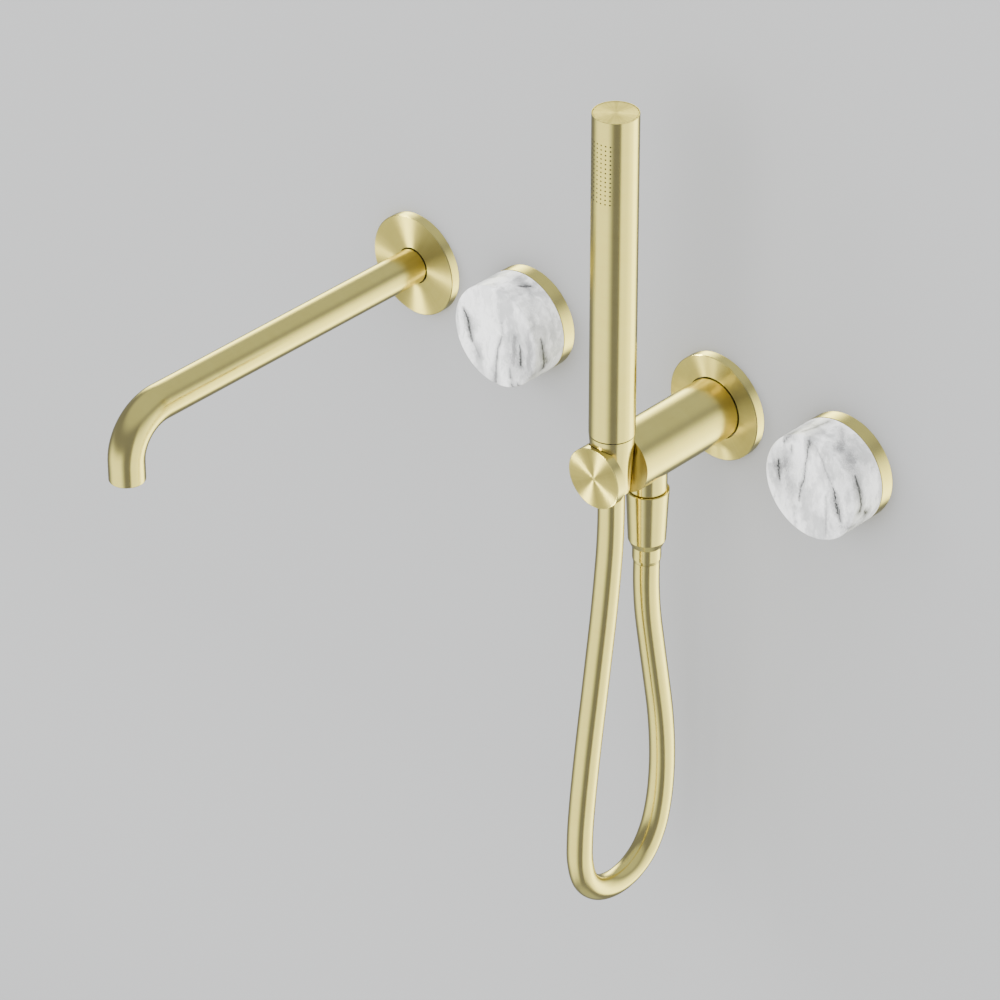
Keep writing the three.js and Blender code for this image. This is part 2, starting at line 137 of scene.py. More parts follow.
def corner_arc(before, corner, after, radius):
    """Points of the arc that rounds one corner of an outline."""
    to_before = (before - corner).normalized()
    to_after = (after - corner).normalized()
    opening = to_before.angle(to_after)
    reach = radius / math.tan(opening / 2)
    reach = min(reach, 0.49 * (before - corner).length, 0.49 * (after - corner).length)
    radius = reach * math.tan(opening / 2)
    middle = (to_before + to_after).normalized()
    centre = corner + middle * (radius / math.sin(opening / 2))
    start = corner + to_before * reach - centre
    sweep = math.pi - opening
    sign = 1 if to_before.x * to_after.y - to_before.y * to_after.x < 0 else -1
    steps = max(2, math.ceil(sweep / FILLET_STEP))
    arc = []
    for k in range(steps + 1):
        angle = sign * sweep * k / steps
        cosine, sine = math.cos(angle), math.sin(angle)
        arc.append(centre + Vector((start.x * cosine - start.y * sine, start.x * sine + start.y * cosine)))
    return arc


def rounded(outline):
    """Points of an outline of (radius, height) or (radius, height, fillet), with its fillets drawn. One
    that doesn't start on the axis closes on itself."""
    points = [Vector(p[:2]) for p in outline]
    fillets = [p[2] if len(p) > 2 else 0 for p in outline]
    closed = points[0].x > 0
    result = []
    for k, (point, fillet) in enumerate(zip(points, fillets)):
        inner = closed or 0 < k < len(points) - 1
        if fillet and inner:
            result += corner_arc(points[k - 1], point, points[(k + 1) % len(points)], fillet)
        else:
            result.append(point)
    return result, closed


def new_object(name, vertices, faces):
    mesh = bpy.data.meshes.new(name)
    mesh.from_pydata(vertices, [], faces)
    piece = bpy.data.objects.new(name, mesh)
    bpy.context.scene.collection.objects.link(piece)
    return piece


def face_out(piece):
    work = bmesh.new()
    work.from_mesh(piece.data)
    bmesh.ops.recalc_face_normals(work, faces=work.faces)
    if work.calc_volume(signed=True) < 0:
        bmesh.ops.reverse_faces(work, faces=work.faces)
    work.to_mesh(piece.data)
    work.free()


def soften(piece, crease=CREASE):
    """Smooth faces, with sharp edges where two faces meet at more than the crease angle."""
    work = bmesh.new()
    work.from_mesh(piece.data)
    for face in work.faces:
        face.smooth = True
    for edge in work.edges:
        edge.smooth = len(edge.link_faces) == 2 and edge.calc_face_angle(0) < crease
    work.to_mesh(piece.data)
    work.free()


def weighted(piece):
    """Shades flat faces as flat, next to small fillets."""
    modifier = piece.modifiers.new("weighted", "WEIGHTED_NORMAL")
    modifier.keep_sharp = True
    modifier.weight = 100


def axial_uv(piece, axis):
    """UV map of a round piece: u runs along its outline in metres, v round its axis in turns."""
    up, side, along = axis_frame(axis)
    mesh = piece.data
    layer = mesh.uv_layers.get("UVMap") or mesh.uv_layers.new(name="UVMap")
    co = [v.co for v in mesh.vertices]
    for face in mesh.polygons:
        middle = face.center
        base = math.atan2(middle.dot(side), middle.dot(up)) / TAU
        flat = abs(face.normal.dot(along)) > 0.7
        for loop in face.loop_indices:
            p = co[mesh.loops[loop].vertex_index]
            radius = math.hypot(p.dot(side), p.dot(up))
            turn = math.atan2(p.dot(side), p.dot(up)) / TAU if radius > 1e-7 else base
            turn = base + (turn - base + 0.5) % 1 - 0.5
            layer.data[loop].uv = (radius if flat else p.dot(along), turn)


def faces_between(rings, closed):
    """Faces that join each ring of vertices to the next. A ring of one vertex is a tip."""
    faces = []
    for k in range(len(rings) if closed else len(rings) - 1):
        low, high = rings[k], rings[(k + 1) % len(rings)]
        sides = max(len(low), len(high))
        for j in range(sides):
            i = (j + 1) % sides
            if len(low) == 1:
                faces.append((low[0], high[i], high[j]))
            elif len(high) == 1:
                faces.append((low[j], low[i], high[0]))
            else:
                faces.append((low[j], low[i], high[i], high[j]))
    return faces


def turned_raw(name, outline, axis, at, sides):
    """A turned solid: mesh only, with its origin on its axis."""
    up, side, along = axis_frame(axis)
    points, closed = rounded(outline)
    vertices, rings = [], []
    for point in points:
        first = len(vertices)
        foot = along * point.y
        for k in range(1 if point.x < 1e-9 else sides):
            angle = TAU * k / sides
            vertices.append(foot + up * (point.x * math.cos(angle)) + side * (point.x * math.sin(angle)))
        rings.append(range(first, len(vertices)))
    piece = new_object(name, vertices, faces_between(rings, closed))
    piece.location = at
    face_out(piece)
    return piece


def turned(name, outline, axis, at, sides=MIDDLE_SIDES):
    piece = turned_raw(name, outline, axis, at, sides)
    soften(piece)
    axial_uv(piece, axis)
    weighted(piece)
    return piece


def applied(piece):
    """Gives a piece the mesh that its modifiers make, and clears them."""
    bpy.context.view_layer.update()
    graph = bpy.context.evaluated_depsgraph_get()
    mesh = bpy.data.meshes.new_from_object(piece.evaluated_get(graph))
    piece.modifiers.clear()
    old = piece.data
    piece.data = mesh
    bpy.data.meshes.remove(old)


def combine(piece, others, operation):
    """Exact boolean with several other pieces, which are used up."""
    for other in others:
        modifier = piece.modifiers.new("boolean", "BOOLEAN")
        modifier.solver = "EXACT"
        modifier.operation = operation
        modifier.object = other
        applied(piece)
        bpy.data.objects.remove(other)
    work = bmesh.new()
    work.from_mesh(piece.data)
    bmesh.ops.remove_doubles(work, verts=work.verts, dist=2e-6)
    bmesh.ops.dissolve_degenerate(work, edges=work.edges, dist=2e-6)
    work.to_mesh(piece.data)
    work.free()
    return piece


def box_solid(name, low, high):
    corners = [(x, y, z) for x in (low[0], high[0]) for y in (low[1], high[1]) for z in (low[2], high[2])]
    faces = [(0, 1, 3, 2), (4, 6, 7, 5), (0, 4, 5, 1), (2, 3, 7, 6), (0, 2, 6, 4), (1, 5, 7, 3)]
    piece = new_object(name, corners, faces)
    face_out(piece)
    return piece


def cylinder_cut(radius, low, high, axis, at, sides):
    return turned_raw("cut", [(0, low), (radius, low), (radius, high), (0, high)], axis, at, sides)


def bevelled(piece, width, segments):
    """Rounds the sharp edges that a boolean leaves."""
    bevel = piece.modifiers.new("bevel", "BEVEL")
    bevel.width = width
    bevel.segments = segments
    bevel.limit_method = "ANGLE"
    bevel.angle_limit = math.radians(40)
    applied(piece)


def swept(name, stations, sides, closed):
    """A tube in a plane x = constant. Each station is (centre, direction, radius). A closed one joins its
    last ring to its first; an open one gets a flat face at each end."""
    vertices, travelled = [], []
    travel = 0.0
    side = Vector((1, 0, 0))
    for k, (centre, direction, radius) in enumerate(stations):
        if k:
            travel += max((centre - stations[k - 1][0]).length, abs(radius - stations[k - 1][2]))
        travelled.append(travel)
        up = side.cross(direction)
        for j in range(sides):
            angle = TAU * j / sides
            vertices.append(centre + side * (radius * math.sin(angle)) + up * (radius * math.cos(angle)))
    rings = [range(k * sides, (k + 1) * sides) for k in range(len(stations))]
    faces = faces_between(rings, closed)
    if not closed:
        faces += [tuple(rings[0]), tuple(reversed(rings[-1]))]
    piece = new_object(name, vertices, faces)
    layer = piece.data.uv_layers.new(name="UVMap")
    for number, face in enumerate(piece.data.polygons):
        base = number % sides
        for loop in face.loop_indices:
            station, j = divmod(piece.data.loops[loop].vertex_index, sides)
            turn = j + sides if j < base else j
            layer.data[loop].uv = (travelled[station], turn / sides)
    face_out(piece)
    return piece


def shade_as_cylinder(piece, axis, along_range):
    """Shades the round faces of a cut piece exactly as its cylinder, whatever edges cross them."""
    up, side, along = axis_frame(axis)
    mesh = piece.data
    normals = [Vector(n.vector) for n in mesh.corner_normals]
    for face in mesh.polygons:
        if abs(face.normal.dot(along)) > 0.02:
            continue
        middle = face.center
        if not along_range[0] < middle.dot(along) < along_range[1]:
            continue
        out = (up * middle.dot(up) + side * middle.dot(side)).normalized()
        if face.normal.dot(out) < 0.995:
            continue
        for loop in face.loop_indices:
            p = mesh.vertices[mesh.loops[loop].vertex_index].co
            normals[loop] = (up * p.dot(up) + side * p.dot(side)).normalized()
    mesh.normals_split_custom_set(normals)


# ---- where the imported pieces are
class Round:
    """Axis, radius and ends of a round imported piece, from its box."""

    def __init__(self, name, axis):
        low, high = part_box(name)
        k = ALONG[axis]
        across = [i for i in range(3) if i != k]
        self.at = Vector((low + high) / 2)
        self.at[k] = 0
        self.radius = max((high[i] - low[i]) / 2 for i in across)
        self.low = low[k]
        self.high = high[k]


def half_width(name):
    """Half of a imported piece's width in x."""
    low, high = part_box(name)
    return (high.x - low.x) / 2


# ---- materials
def new_material(name):
    material = bpy.data.materials.new(name)
    material.use_nodes = True
    tree = material.node_tree
    tree.nodes.clear()
    output = tree.nodes.new("ShaderNodeOutputMaterial")
    shader = tree.nodes.new("ShaderNodeBsdfPrincipled")
    tree.links.new(shader.outputs["BSDF"], output.inputs["Surface"])
    return material, tree, shader


def feed(tree, receiver, inputs):
    """Links or sets inputs of a shader node."""
    for key, value in inputs.items():
        if isinstance(value, bpy.types.NodeSocket):
            tree.links.new(value, receiver.inputs[key])
        else:
            receiver.inputs[key].default_value = value


def node(tree, kind, inputs=None, **settings):
    made = tree.nodes.new(kind)
    for key, value in settings.items():
        setattr(made, key, value)
    feed(tree, made, inputs or {})
    return made


def maths(tree, operation, *values):
    return node(tree, "ShaderNodeMath", dict(enumerate(values)), operation=operation).outputs[0]


def vectors(tree, operation, *values, output="Vector"):
    made = node(tree, "ShaderNodeVectorMath", dict(enumerate(values)), operation=operation)
    return made.outputs[output]


def scaled(tree, vector, factor):
    return node(tree, "ShaderNodeVectorMath", {0: vector, "Scale": factor}, operation="SCALE").outputs[0]


def ramp(tree, value, low, high, to_low=0, to_high=1, smooth=False):
    """Takes a value from one range to another, and holds it past the ends."""
    return node(tree, "ShaderNodeMapRange", {
        "Value": value, "From Min": low, "From Max": high, "To Min": to_low, "To Max": to_high,
    }, interpolation_type="SMOOTHSTEP" if smooth else "LINEAR").outputs[0]


def noise(tree, place, scale, detail, roughness):
    """Outputs of a noise texture. Its scale is one number, or one for each direction."""
    if isinstance(scale, tuple):
        place = node(tree, "ShaderNodeMapping", {"Vector": place, "Scale": scale}).outputs[0]
        scale = 1
    return node(tree, "ShaderNodeTexNoise", {
        "Vector": place, "Scale": scale, "Detail": detail, "Roughness": roughness,
    }).outputs


def relief(tree, height, depth):
    return node(tree, "ShaderNodeBump", {"Height": height, "Strength": 1, "Distance": depth}).outputs[0]


def mixed(tree, factor, low, high):
    """A colour between two, by a factor from 0 to 1."""
    mix = node(tree, "ShaderNodeMix", {"Factor": factor}, data_type="RGBA")
    for key, value in (("A", low), ("B", high)):
        feed(tree, mix, {key: (*value, 1) if isinstance(value, tuple) else value})
    return mix.outputs["Result"]


BRASS = (0.88, 0.762, 0.385)
BRASS_DEEP = (0.855, 0.733, 0.36)
# the last colour is for the painted sunburst: darker rays that stand in for the reflection on a turned face
BRASS_SUNBURST_SHADE = (0.72, 0.61, 0.29)
# noise scales: two for the place round the axis and one for the place along the outline
TONE_SCALE = (1, 1, 0.06)
SUNBURST_SCALE = (7, 7, 0.004)


def brass(name, roughness, anisotropy, line, depth, painted_sunburst):
    """Brushed brass: fine lines round the axis, in relief, in gloss and slightly in tone. On a flat turned
    face, darker rays are also painted into the tone: a painted sunburst reflection."""
    material, tree, shader = new_material(name)
    uv = node(tree, "ShaderNodeUVMap", uv_map="UVMap").outputs["UV"]
    parts = node(tree, "ShaderNodeSeparateXYZ", {0: uv}).outputs
    turn = maths(tree, "MULTIPLY", parts["Y"], TAU)
    place = node(tree, "ShaderNodeCombineXYZ", {
        "X": maths(tree, "COSINE", turn),
        "Y": maths(tree, "SINE", turn),
        "Z": maths(tree, "MULTIPLY", parts["X"], 1 / line),
    }).outputs[0]
    fine = noise(tree, place, 1, 3, 0.65)["Fac"]
    broad = noise(tree, place, TONE_SCALE, 2, 0.5)["Fac"]
    color = mixed(tree, ramp(tree, broad, 0.3, 0.7), BRASS_DEEP, BRASS)
    # painted reflection: darker rays in the tone round the axis, as the sunburst of a turned face
    if painted_sunburst:
        sunburst_paint = noise(tree, place, SUNBURST_SCALE, 3, 0.5)["Fac"]
        color = mixed(tree, ramp(tree, sunburst_paint, 0.35, 0.65, 0, painted_sunburst), color, BRASS_SUNBURST_SHADE)
    feed(tree, shader, {
        "Metallic": 1,
        "Anisotropic": anisotropy,
        "Base Color": color,
        "Roughness": ramp(tree, fine, 0.3, 0.7, roughness * 0.88, roughness * 1.12),
        "Normal": relief(tree, fine, depth),
        "Tangent": node(tree, "ShaderNodeTangent", direction_type="UV_MAP", uv_map="UVMap").outputs[0],
    })
    return material


def grainy(name, color, dark, roughness, metallic, grain, depth, specular=0.5):
    """Cast, moulded or rubber surface: a fine even grain in tone, in gloss and in relief."""
    material, tree, shader = new_material(name)
    place = node(tree, "ShaderNodeTexCoord").outputs["Object"]
    grit = noise(tree, place, 1 / grain, 4, 0.6)["Fac"]
    feed(tree, shader, {
        "Metallic": metallic,
        "Specular IOR Level": specular,
        "Base Color": mixed(tree, grit, dark, color),
        "Roughness": ramp(tree, grit, 0.3, 0.7, roughness * 0.85, min(1, roughness * 1.15)),
        "Normal": relief(tree, grit, depth),
    })
    return material


# ---- marble. Places are in millimetres from the knob's axis and the wall.
MARBLE_WHITE = (0.83, 0.834, 0.843)
MARBLE_GREY = (0.36, 0.365, 0.374)
MARBLE_DARK = (0.014, 0.015, 0.017)
MARBLE_SHINE = 0.08
# noise scales: what bends veins and clouds, the grain that breaks the veins, the clouds and the wisps
WAVE_SCALE = (0.16, 0.16, 0.1)
GRAIN_SCALE = (2.2, 2.2, 1.0)
CLOUD_SCALE = (0.085, 0.085, 0.026)
WISP_SCALE = (0.3, 0.3, 0.05)
VEIN_BEND = (2.4, 2.4, 2.4)
CLOUD_BEND = (14, 14, 10)
VEIN_RELIEF = 1.5e-5
# a vein's half widths are multiplied by the spread; its halo has a share of its darkness and fades out
# between two distances, in half widths
VEIN_SPREAD = 1.75
VEIN_HALO = 0.42
HALO_FROM, HALO_TO = 0.6, 5
# how much space is squeezed along the way that a vein runs into the stone
SHEET_SQUEEZE = 0.3
# the front of a knob, and the y in front of which a vein counts as lying on it
FRONT_Y = -31
FRONT_VEIN_Y = -29


def vein_sheet(points):
    """How space is squeezed for a vein, so that it is a sheet that runs into the stone from its surface."""
    x, y, z = (sum(point[k] for point in points) / len(points) for k in range(3))
    if y < FRONT_VEIN_Y:
        return Vector((1, SHEET_SQUEEZE, 1))
    if abs(x) > abs(z):
        return Vector((SHEET_SQUEEZE, 1, 1))
    return Vector((1, 1, SHEET_SQUEEZE))


def largest(tree, values):
    total = values[0]
    for value in values[1:]:
        total = maths(tree, "MAXIMUM", total, value)
    return total


def vein_depth(tree, place, grain, vein):
    """How dark a vein is at a point. It is darkest on its line and fades out round its width. A faint vein
    has softer edges."""
    darkness, points = vein
    sheet = vein_sheet(points)
    place = vectors(tree, "MULTIPLY", place, sheet)
    solid_to = 0.6 * darkness - 0.1
    gone_from = 2.4 - 1.05 * darkness
    depths = []
    for start, end in zip(points, points[1:]):
        a, b = sheet * Vector(start[:3]), sheet * Vector(end[:3])
        run = b - a
        from_start = vectors(tree, "SUBTRACT", place, a)
        share = vectors(tree, "DOT_PRODUCT", from_start, run / run.length_squared, output="Value")
        share = node(tree, "ShaderNodeClamp", {"Value": share}).outputs[0]
        gap = vectors(tree, "DISTANCE", from_start, scaled(tree, run, share), output="Value")
        width = maths(tree, "MULTIPLY_ADD", share, VEIN_SPREAD * (end[3] - start[3]), VEIN_SPREAD * start[3])
        far = maths(tree, "ADD", maths(tree, "DIVIDE", gap, width), grain)
        core = ramp(tree, far, solid_to, gone_from, darkness, 0, smooth=True)
        halo = ramp(tree, far, HALO_FROM, HALO_TO, darkness * VEIN_HALO, 0, smooth=True)
        depths.append(maths(tree, "MAXIMUM", core, halo))
    return largest(tree, depths)


def marble(name, shift, veins):
    """Polished white marble: soft grey clouds drawn out upwards, and a few dark broken veins. The shift picks
    another part of the same stone."""
    material, tree, shader = new_material(name)
    place = scaled(tree, node(tree, "ShaderNodeTexCoord").outputs["Object"], 1 / MM)
    moved = vectors(tree, "ADD", place, shift)
    wave = vectors(tree, "SUBTRACT", noise(tree, moved, WAVE_SCALE, 4, 0.55)["Color"], (0.5, 0.5, 0.5))
    bent = vectors(tree, "MULTIPLY_ADD", wave, VEIN_BEND, place)
    grain = ramp(tree, noise(tree, moved, GRAIN_SCALE, 4, 0.7)["Fac"], 0.25, 0.75, -1.1, 1.6)
    dark = largest(tree, [vein_depth(tree, bent, grain, vein) for vein in veins])
    drift = vectors(tree, "MULTIPLY_ADD", wave, CLOUD_BEND, moved)
    cloud = ramp(tree, noise(tree, drift, CLOUD_SCALE, 5, 0.55)["Fac"], 0.42, 0.68, 0, 0.85, smooth=True)
    wisp = ramp(tree, noise(tree, drift, WISP_SCALE, 4, 0.6)["Fac"], 0.5, 0.74, 0, 0.6, smooth=True)
    color = mixed(tree, maths(tree, "MAXIMUM", cloud, wisp), MARBLE_WHITE, MARBLE_GREY)
    clear = maths(tree, "POWER", maths(tree, "SUBTRACT", 1, dark), 2)
    feed(tree, shader, {
        "Base Color": mixed(tree, clear, MARBLE_DARK, color),
        "Roughness": ramp(tree, dark, 0, 1, 0.2, 0.4),
        "Normal": relief(tree, clear, VEIN_RELIEF),
        "Specular IOR Level": MARBLE_SHINE,
    })
    return material


def on_front(darkness, *points):
    """A vein on the front of a knob, with its points as (x, z, half width)."""
    return darkness, [(x, FRONT_Y, z, width) for x, z, width in points]


# Veins of each knob: how dark, and the points (x, y, z, half width) that they pass.
BATH_VEINS = [
    on_front(0.9, (-23, 8.5, 0.3), (-20, 3, 0.8), (-19, -1, 0.7), (-17, -9, 0.3)),
    on_front(0.3, (-17, -9, 0.4), (-11.5, -17.5, 0.6)),
    (0.8, [(6.5, -18.5, 29, 0.3), (8.5, -15.5, 29, 0.9), (10, -13, 28.5, 0.3)]),
    (0.3, [(0.5, -13, 30, 1.2), (7, -15, 29, 2.2)]),
    on_front(0.3, (5.2, 11.5, 0.2), (5.8, 4.5, 0.4)),
    on_front(0.6, (5.6, 2.5, 0.3), (4.4, 0.5, 0.5), (2.5, -6, 0.3), (1, -16, 0.4), (0.6, -28, 0.8)),
    on_front(0.9, (18.6, 2.5, 0.1), (19.1, -4.6, 0.7), (19.2, -9.7, 0.9)),
    on_front(0.4, (15, 6.5, 0.8), (13.8, -10, 1.9)),
    (0.9, [(29, -26, 8, 0.2), (30, -25, -1, 0.7), (28, -22.5, -12, 0.6)]),
    (0.6, [(30, -24, -2.5, 0.3), (28.7, -21, -9, 0.9)]),
    on_front(0.6, (11.4, -16, 0.2), (11.6, -21.5, 0.4)),
    on_front(0.6, (12.2, -25.5, 0.5), (13.5, -27, 0.7)),
    on_front(0.6, (17, -23, 0.5), (17.5, -25, 0.7)),
    (0.2, [(11.6, -16, 28, 1.6), (19, -22, 23, 1.4), (25.6, -29.5, 16, 1.3)]),
    on_front(0.25, (24.5, 12, 1.6), (26, -2, 2.2), (22, -16, 2.4)),
]
SHOWER_VEINS = [
    on_front(0.9, (-21, 8, 0.4), (-21, 4, 0.9), (-21, 2, 0.6), (-20, -3.5, 0.2)),
    on_front(0.4, (-16, 9, 1.6), (-16, 6, 1.6)),
    on_front(0.22, (-17.5, 4.5, 3), (-12, -4, 3)),
    (0.6, [(-18, -31, 21, 0.3), (-14, -29, 26.7, 0.8)]),
    on_front(0.5, (-12.8, 20.4, 0.3), (-13, 16, 0.5)),
    on_front(0.65, (-1, 28, 0.8), (-2, 24, 0.5), (-2.6, 15, 0.3), (-3.8, 4.5, 0.3),
             (-5.7, -2.3, 0.5), (-6.5, -10.7, 0.2)),
    on_front(0.3, (3, 27, 0.3), (7.5, 21, 0.4), (10.5, 14.7, 0.4), (15, 8.7, 0.3)),
    on_front(0.9, (15.8, 7, 0.2), (17, 4.5, 0.5), (18.3, -1.8, 0.8), (20, -7, 0.8), (21.4, -11, 0.4)),
    (0.85, [(25.6, -26, 16, 0.2), (27.6, -26.4, 12, 0.6), (29.7, -26, 4.7, 0.5),
            (30, -25.3, -1.4, 0.6), (29.8, -26, -4, 0.7)]),
    (0.8, [(29.4, -21.5, -6, 0.5), (28.9, -20, -8.3, 0.8)]),
    (0.5, [(-9.3, -26.5, 28.6, 0.4), (-6.2, -21, 29.5, 0.4), (-5, -12, 29.7, 0.8)]),
    (0.4, [(5.4, -13, 29.6, 1), (9.6, -17.3, 28.5, 1.4), (14, -24, 26.6, 1.6)]),
    (0.36, [(18.5, -21, 23.6, 1.8), (22.5, -25.5, 19.8, 2.2)]),
    on_front(0.25, (11.7, -0.7, 0.3), (12.7, -25, 0.4)),
    (0.4, [(26.7, -31, -14, 1), (26.5, -27, -14.2, 0.6)]),
]

# grainy finishes: colour, darker colour, roughness, metallic, size of the grain and relief. The rubber also
# has a specular level, which is otherwise 0.5.
GRAINY = {
    # cut_brass is darkened brass: on the arm's inner faces it is painted shade in the slot, cone and seats
    "cut_brass": ((0.42, 0.34, 0.17), (0.32, 0.25, 0.11), 0.36, 1, 0.5 * MM, 6e-6),
    "raw_brass": ((0.62, 0.47, 0.20), (0.50, 0.36, 0.14), 0.38, 1, 0.6 * MM, 1.5e-5),
    "steel": ((0.60, 0.61, 0.62), (0.50, 0.51, 0.52), 0.3, 1, 0.4 * MM, 4e-6),
    "rubber": ((0.030, 0.030, 0.031), (0.018, 0.018, 0.019), 0.7, 0, 0.3 * MM, 1e-5, 0.35),
    "white_plastic": ((0.78, 0.77, 0.73), (0.70, 0.69, 0.65), 0.45, 0, 0.5 * MM, 6e-6),
    "dark_plastic": ((0.075, 0.072, 0.06), (0.05, 0.048, 0.04), 0.5, 0, 0.5 * MM, 8e-6),
    "ceramic": ((0.85, 0.84, 0.80), (0.80, 0.79, 0.75), 0.15, 0, 1 * MM, 1e-6),
}
materials = {
    # the last number is how strong the painted sunburst rays are
    "tube": brass("satin_brass", 0.2, 0.4, 0.35 * MM, 1.0e-6, 0),
    "plate": brass("turned_brass", 0.55, 1.0, 0.3 * MM, 1.5e-6, 0.35),
    "top_face": brass("turned_brass_top", 0.55, 0.9, 0.3 * MM, 1.5e-6, 1.0),
    **{name: grainy(name, *look) for name, look in GRAINY.items()},
    "bath_marble": marble("bath_marble", (0, 0, 0), BATH_VEINS),
    "shower_marble": marble("shower_marble", (217, 41, 83), SHOWER_VEINS),
}


# ---- joining a piece to the frame
def stand_for(piece, body, slot, finish, *nodes):
    """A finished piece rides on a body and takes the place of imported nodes."""
    piece.data.materials.append(materials[finish])
    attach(piece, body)
    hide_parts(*nodes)
    return piece


def turned_for(name, outline, axis, at, body="root", slot="brushed_brass", finish="tube", sides=MIDDLE_SIDES):
    """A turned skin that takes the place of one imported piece."""
    piece = turned(f"{name}_skin", outline, axis, at, sides)
    return stand_for(piece, body, slot, finish, name)


def finish_faces(piece, finish, chosen):
    """Gives some faces of a piece another finish."""
    piece.data.materials.append(materials[finish])
    index = len(piece.data.materials) - 1
    for face in piece.data.polygons:
        if chosen(face):
            face.material_index = index


def finish_flats(piece, axis, finish="plate"):
    """Gives the faces that lie flat across an axis the look of a turned face."""
    along = axis_frame(axis)[2]
    finish_faces(piece, finish, lambda face: abs(face.normal.dot(along)) > 0.9)


# ---- hose
HOSE_RADIUS = 7.2 * MM
HOSE_PLANE = 0.0
# centre line in that plane, from the outlet to the hand shower: (y, z) in metres
HOSE_ROUTE = [
    (-0.0579, -0.0713), (-0.0578, -0.086), (-0.0564, -0.104), (-0.0528, -0.127), (-0.0485, -0.152),
    (-0.0445, -0.177), (-0.0425, -0.199), (-0.0424, -0.219), (-0.0445, -0.238), (-0.049, -0.2535),
    (-0.057, -0.2656), (-0.0683, -0.2726), (-0.0818, -0.2742), (-0.095, -0.2698), (-0.1044, -0.26),
    (-0.1089, -0.245), (-0.1093, -0.228), (-0.1078, -0.208), (-0.1053, -0.186), (-0.1021, -0.162),
    (-0.0986, -0.138), (-0.0952, -0.114), (-0.0919, -0.09), (-0.0892, -0.066), (-0.0876, -0.048),
    (-0.087, -0.034), (-0.0869, -0.022), (-0.0869, -0.0138),
]
HOSE_STEP = 1.5 * MM
CURVE_STEPS = 24  # steps of the curve between two points of the route


def smooth_line(points, step):
    """Points a step apart on the centripetal Catmull-Rom curve through the given ones, and its length."""
    p = [np.array(q, float) for q in points]
    p = [2 * p[0] - p[1], *p, 2 * p[-1] - p[-2]]
    dense = []
    for k in range(1, len(p) - 2):
        p0, p1, p2, p3 = p[k - 1:k + 3]
        t0, t1, t2 = (np.linalg.norm(b - a) ** 0.5 for a, b in ((p0, p1), (p1, p2), (p2, p3)))
        m1 = ((p1 - p0) / t0 - (p2 - p0) / (t0 + t1) + (p2 - p1) / t1) * t1
        m2 = ((p2 - p1) / t1 - (p3 - p1) / (t1 + t2) + (p3 - p2) / t2) * t1
        for s in np.arange(CURVE_STEPS) / CURVE_STEPS:
            dense.append(p1 * (2 * s**3 - 3 * s**2 + 1) + m1 * (s**3 - 2 * s**2 + s)
                         + p2 * (3 * s**2 - 2 * s**3) + m2 * (s**3 - s**2))
    dense.append(p[-2])
    dense = np.array(dense)
    along = np.concatenate([[0], np.cumsum(np.linalg.norm(np.diff(dense, axis=0), axis=1))])
    count = round(along[-1] / step)
    places = np.linspace(0, along[-1], count + 1)
    line = np.stack([np.interp(places, along, dense[:, k]) for k in range(dense.shape[1])], axis=1)
    return line, float(along[-1])


def make_hose():
    line, length = smooth_line(HOSE_ROUTE, HOSE_STEP)
    centres = [Vector((HOSE_PLANE, y, z)) for y, z in line]
    stations = []
    for k, centre in enumerate(centres):
        ahead = centres[min(k + 1, len(centres) - 1)] - centres[max(k - 1, 0)]
        stations.append((centre, ahead.normalized(), HOSE_RADIUS))
    hose = swept("shower_hose_skin", stations, SMALL_SIDES, closed=False)
    soften(hose)
    hose.data.materials.append(materials["tube"])
    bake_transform(hose)
    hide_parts("shower_hose")


make_camera()
make_hose()


# ---- bath spout
SPOUT_BEND = 25.7 * MM
SPOUT_WALL = 1.48 * MM
SPOUT_LIP = 0.45 * MM
RUN_STEPS = 40
BEND_STEPS = 32
FOOT_STEPS = 6
LIP_STEPS = 6


def spout_line(x, radius):
    """Stations (point, direction) along the middle of the spout, from the wall to the outlet."""
    low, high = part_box("spout_tube")
    reach = -low.y - radius
    start = Vector((x, high.y, 0))
    turn_from = Vector((x, -reach + SPOUT_BEND, 0))
    centre = turn_from + Vector((0, 0, -SPOUT_BEND))
    line = [(start + (turn_from - start) * k / RUN_STEPS, Vector((0, -1, 0))) for k in range(RUN_STEPS)]
    for cosine, sine in quarter_turn(BEND_STEPS):
        line.append((centre + SPOUT_BEND * Vector((0, -sine, cosine)), Vector((0, -cosine, -sine))))
    foot = line[-1][0]
    end = Vector((x, -reach, low.z))
    line += [(foot + (end - foot) * k / FOOT_STEPS, Vector((0, 0, -1))) for k in range(1, FOOT_STEPS + 1)]
    return line


def make_spout():
    outer = half_width("spout_tube")
    bore = outer - SPOUT_WALL
    line = spout_line(Round("spout_cover_plate", "y").at.x, outer)
    end, down = line.pop()
    turns = quarter_turn(LIP_STEPS)
    # the rounded lip of the outlet: how far back from the end, and the radius there
    lip = [(SPOUT_LIP * (1 - sine), outer - SPOUT_LIP * (1 - cosine)) for cosine, sine in turns]
    lip += [(SPOUT_LIP * (1 - cosine), bore + SPOUT_LIP * (1 - sine)) for cosine, sine in turns]
    stations = [(point, direction, outer) for point, direction in line]
    stations += [(end - down * back, down, radius) for back, radius in lip]
    stations += [(point, direction, bore) for point, direction in reversed(line)]
    piece = swept("spout_tube_skin", stations, MIDDLE_SIDES, closed=True)
    soften(piece)
    stand_for(piece, "root", "brushed_brass", "tube", "spout_tube")
    make_cover_plate("spout", outer + PLATE_PLAY)
    make_nipple("spout")


# ---- cover plates and wall nipples
PLATE_PLAY = 0.65 * MM
PLATE_RIM = 3.4 * MM
PLATE_RECESS = 2.6 * MM
PLATE_BEVEL = 0.4 * MM
PLATE_FILLET = 0.2 * MM


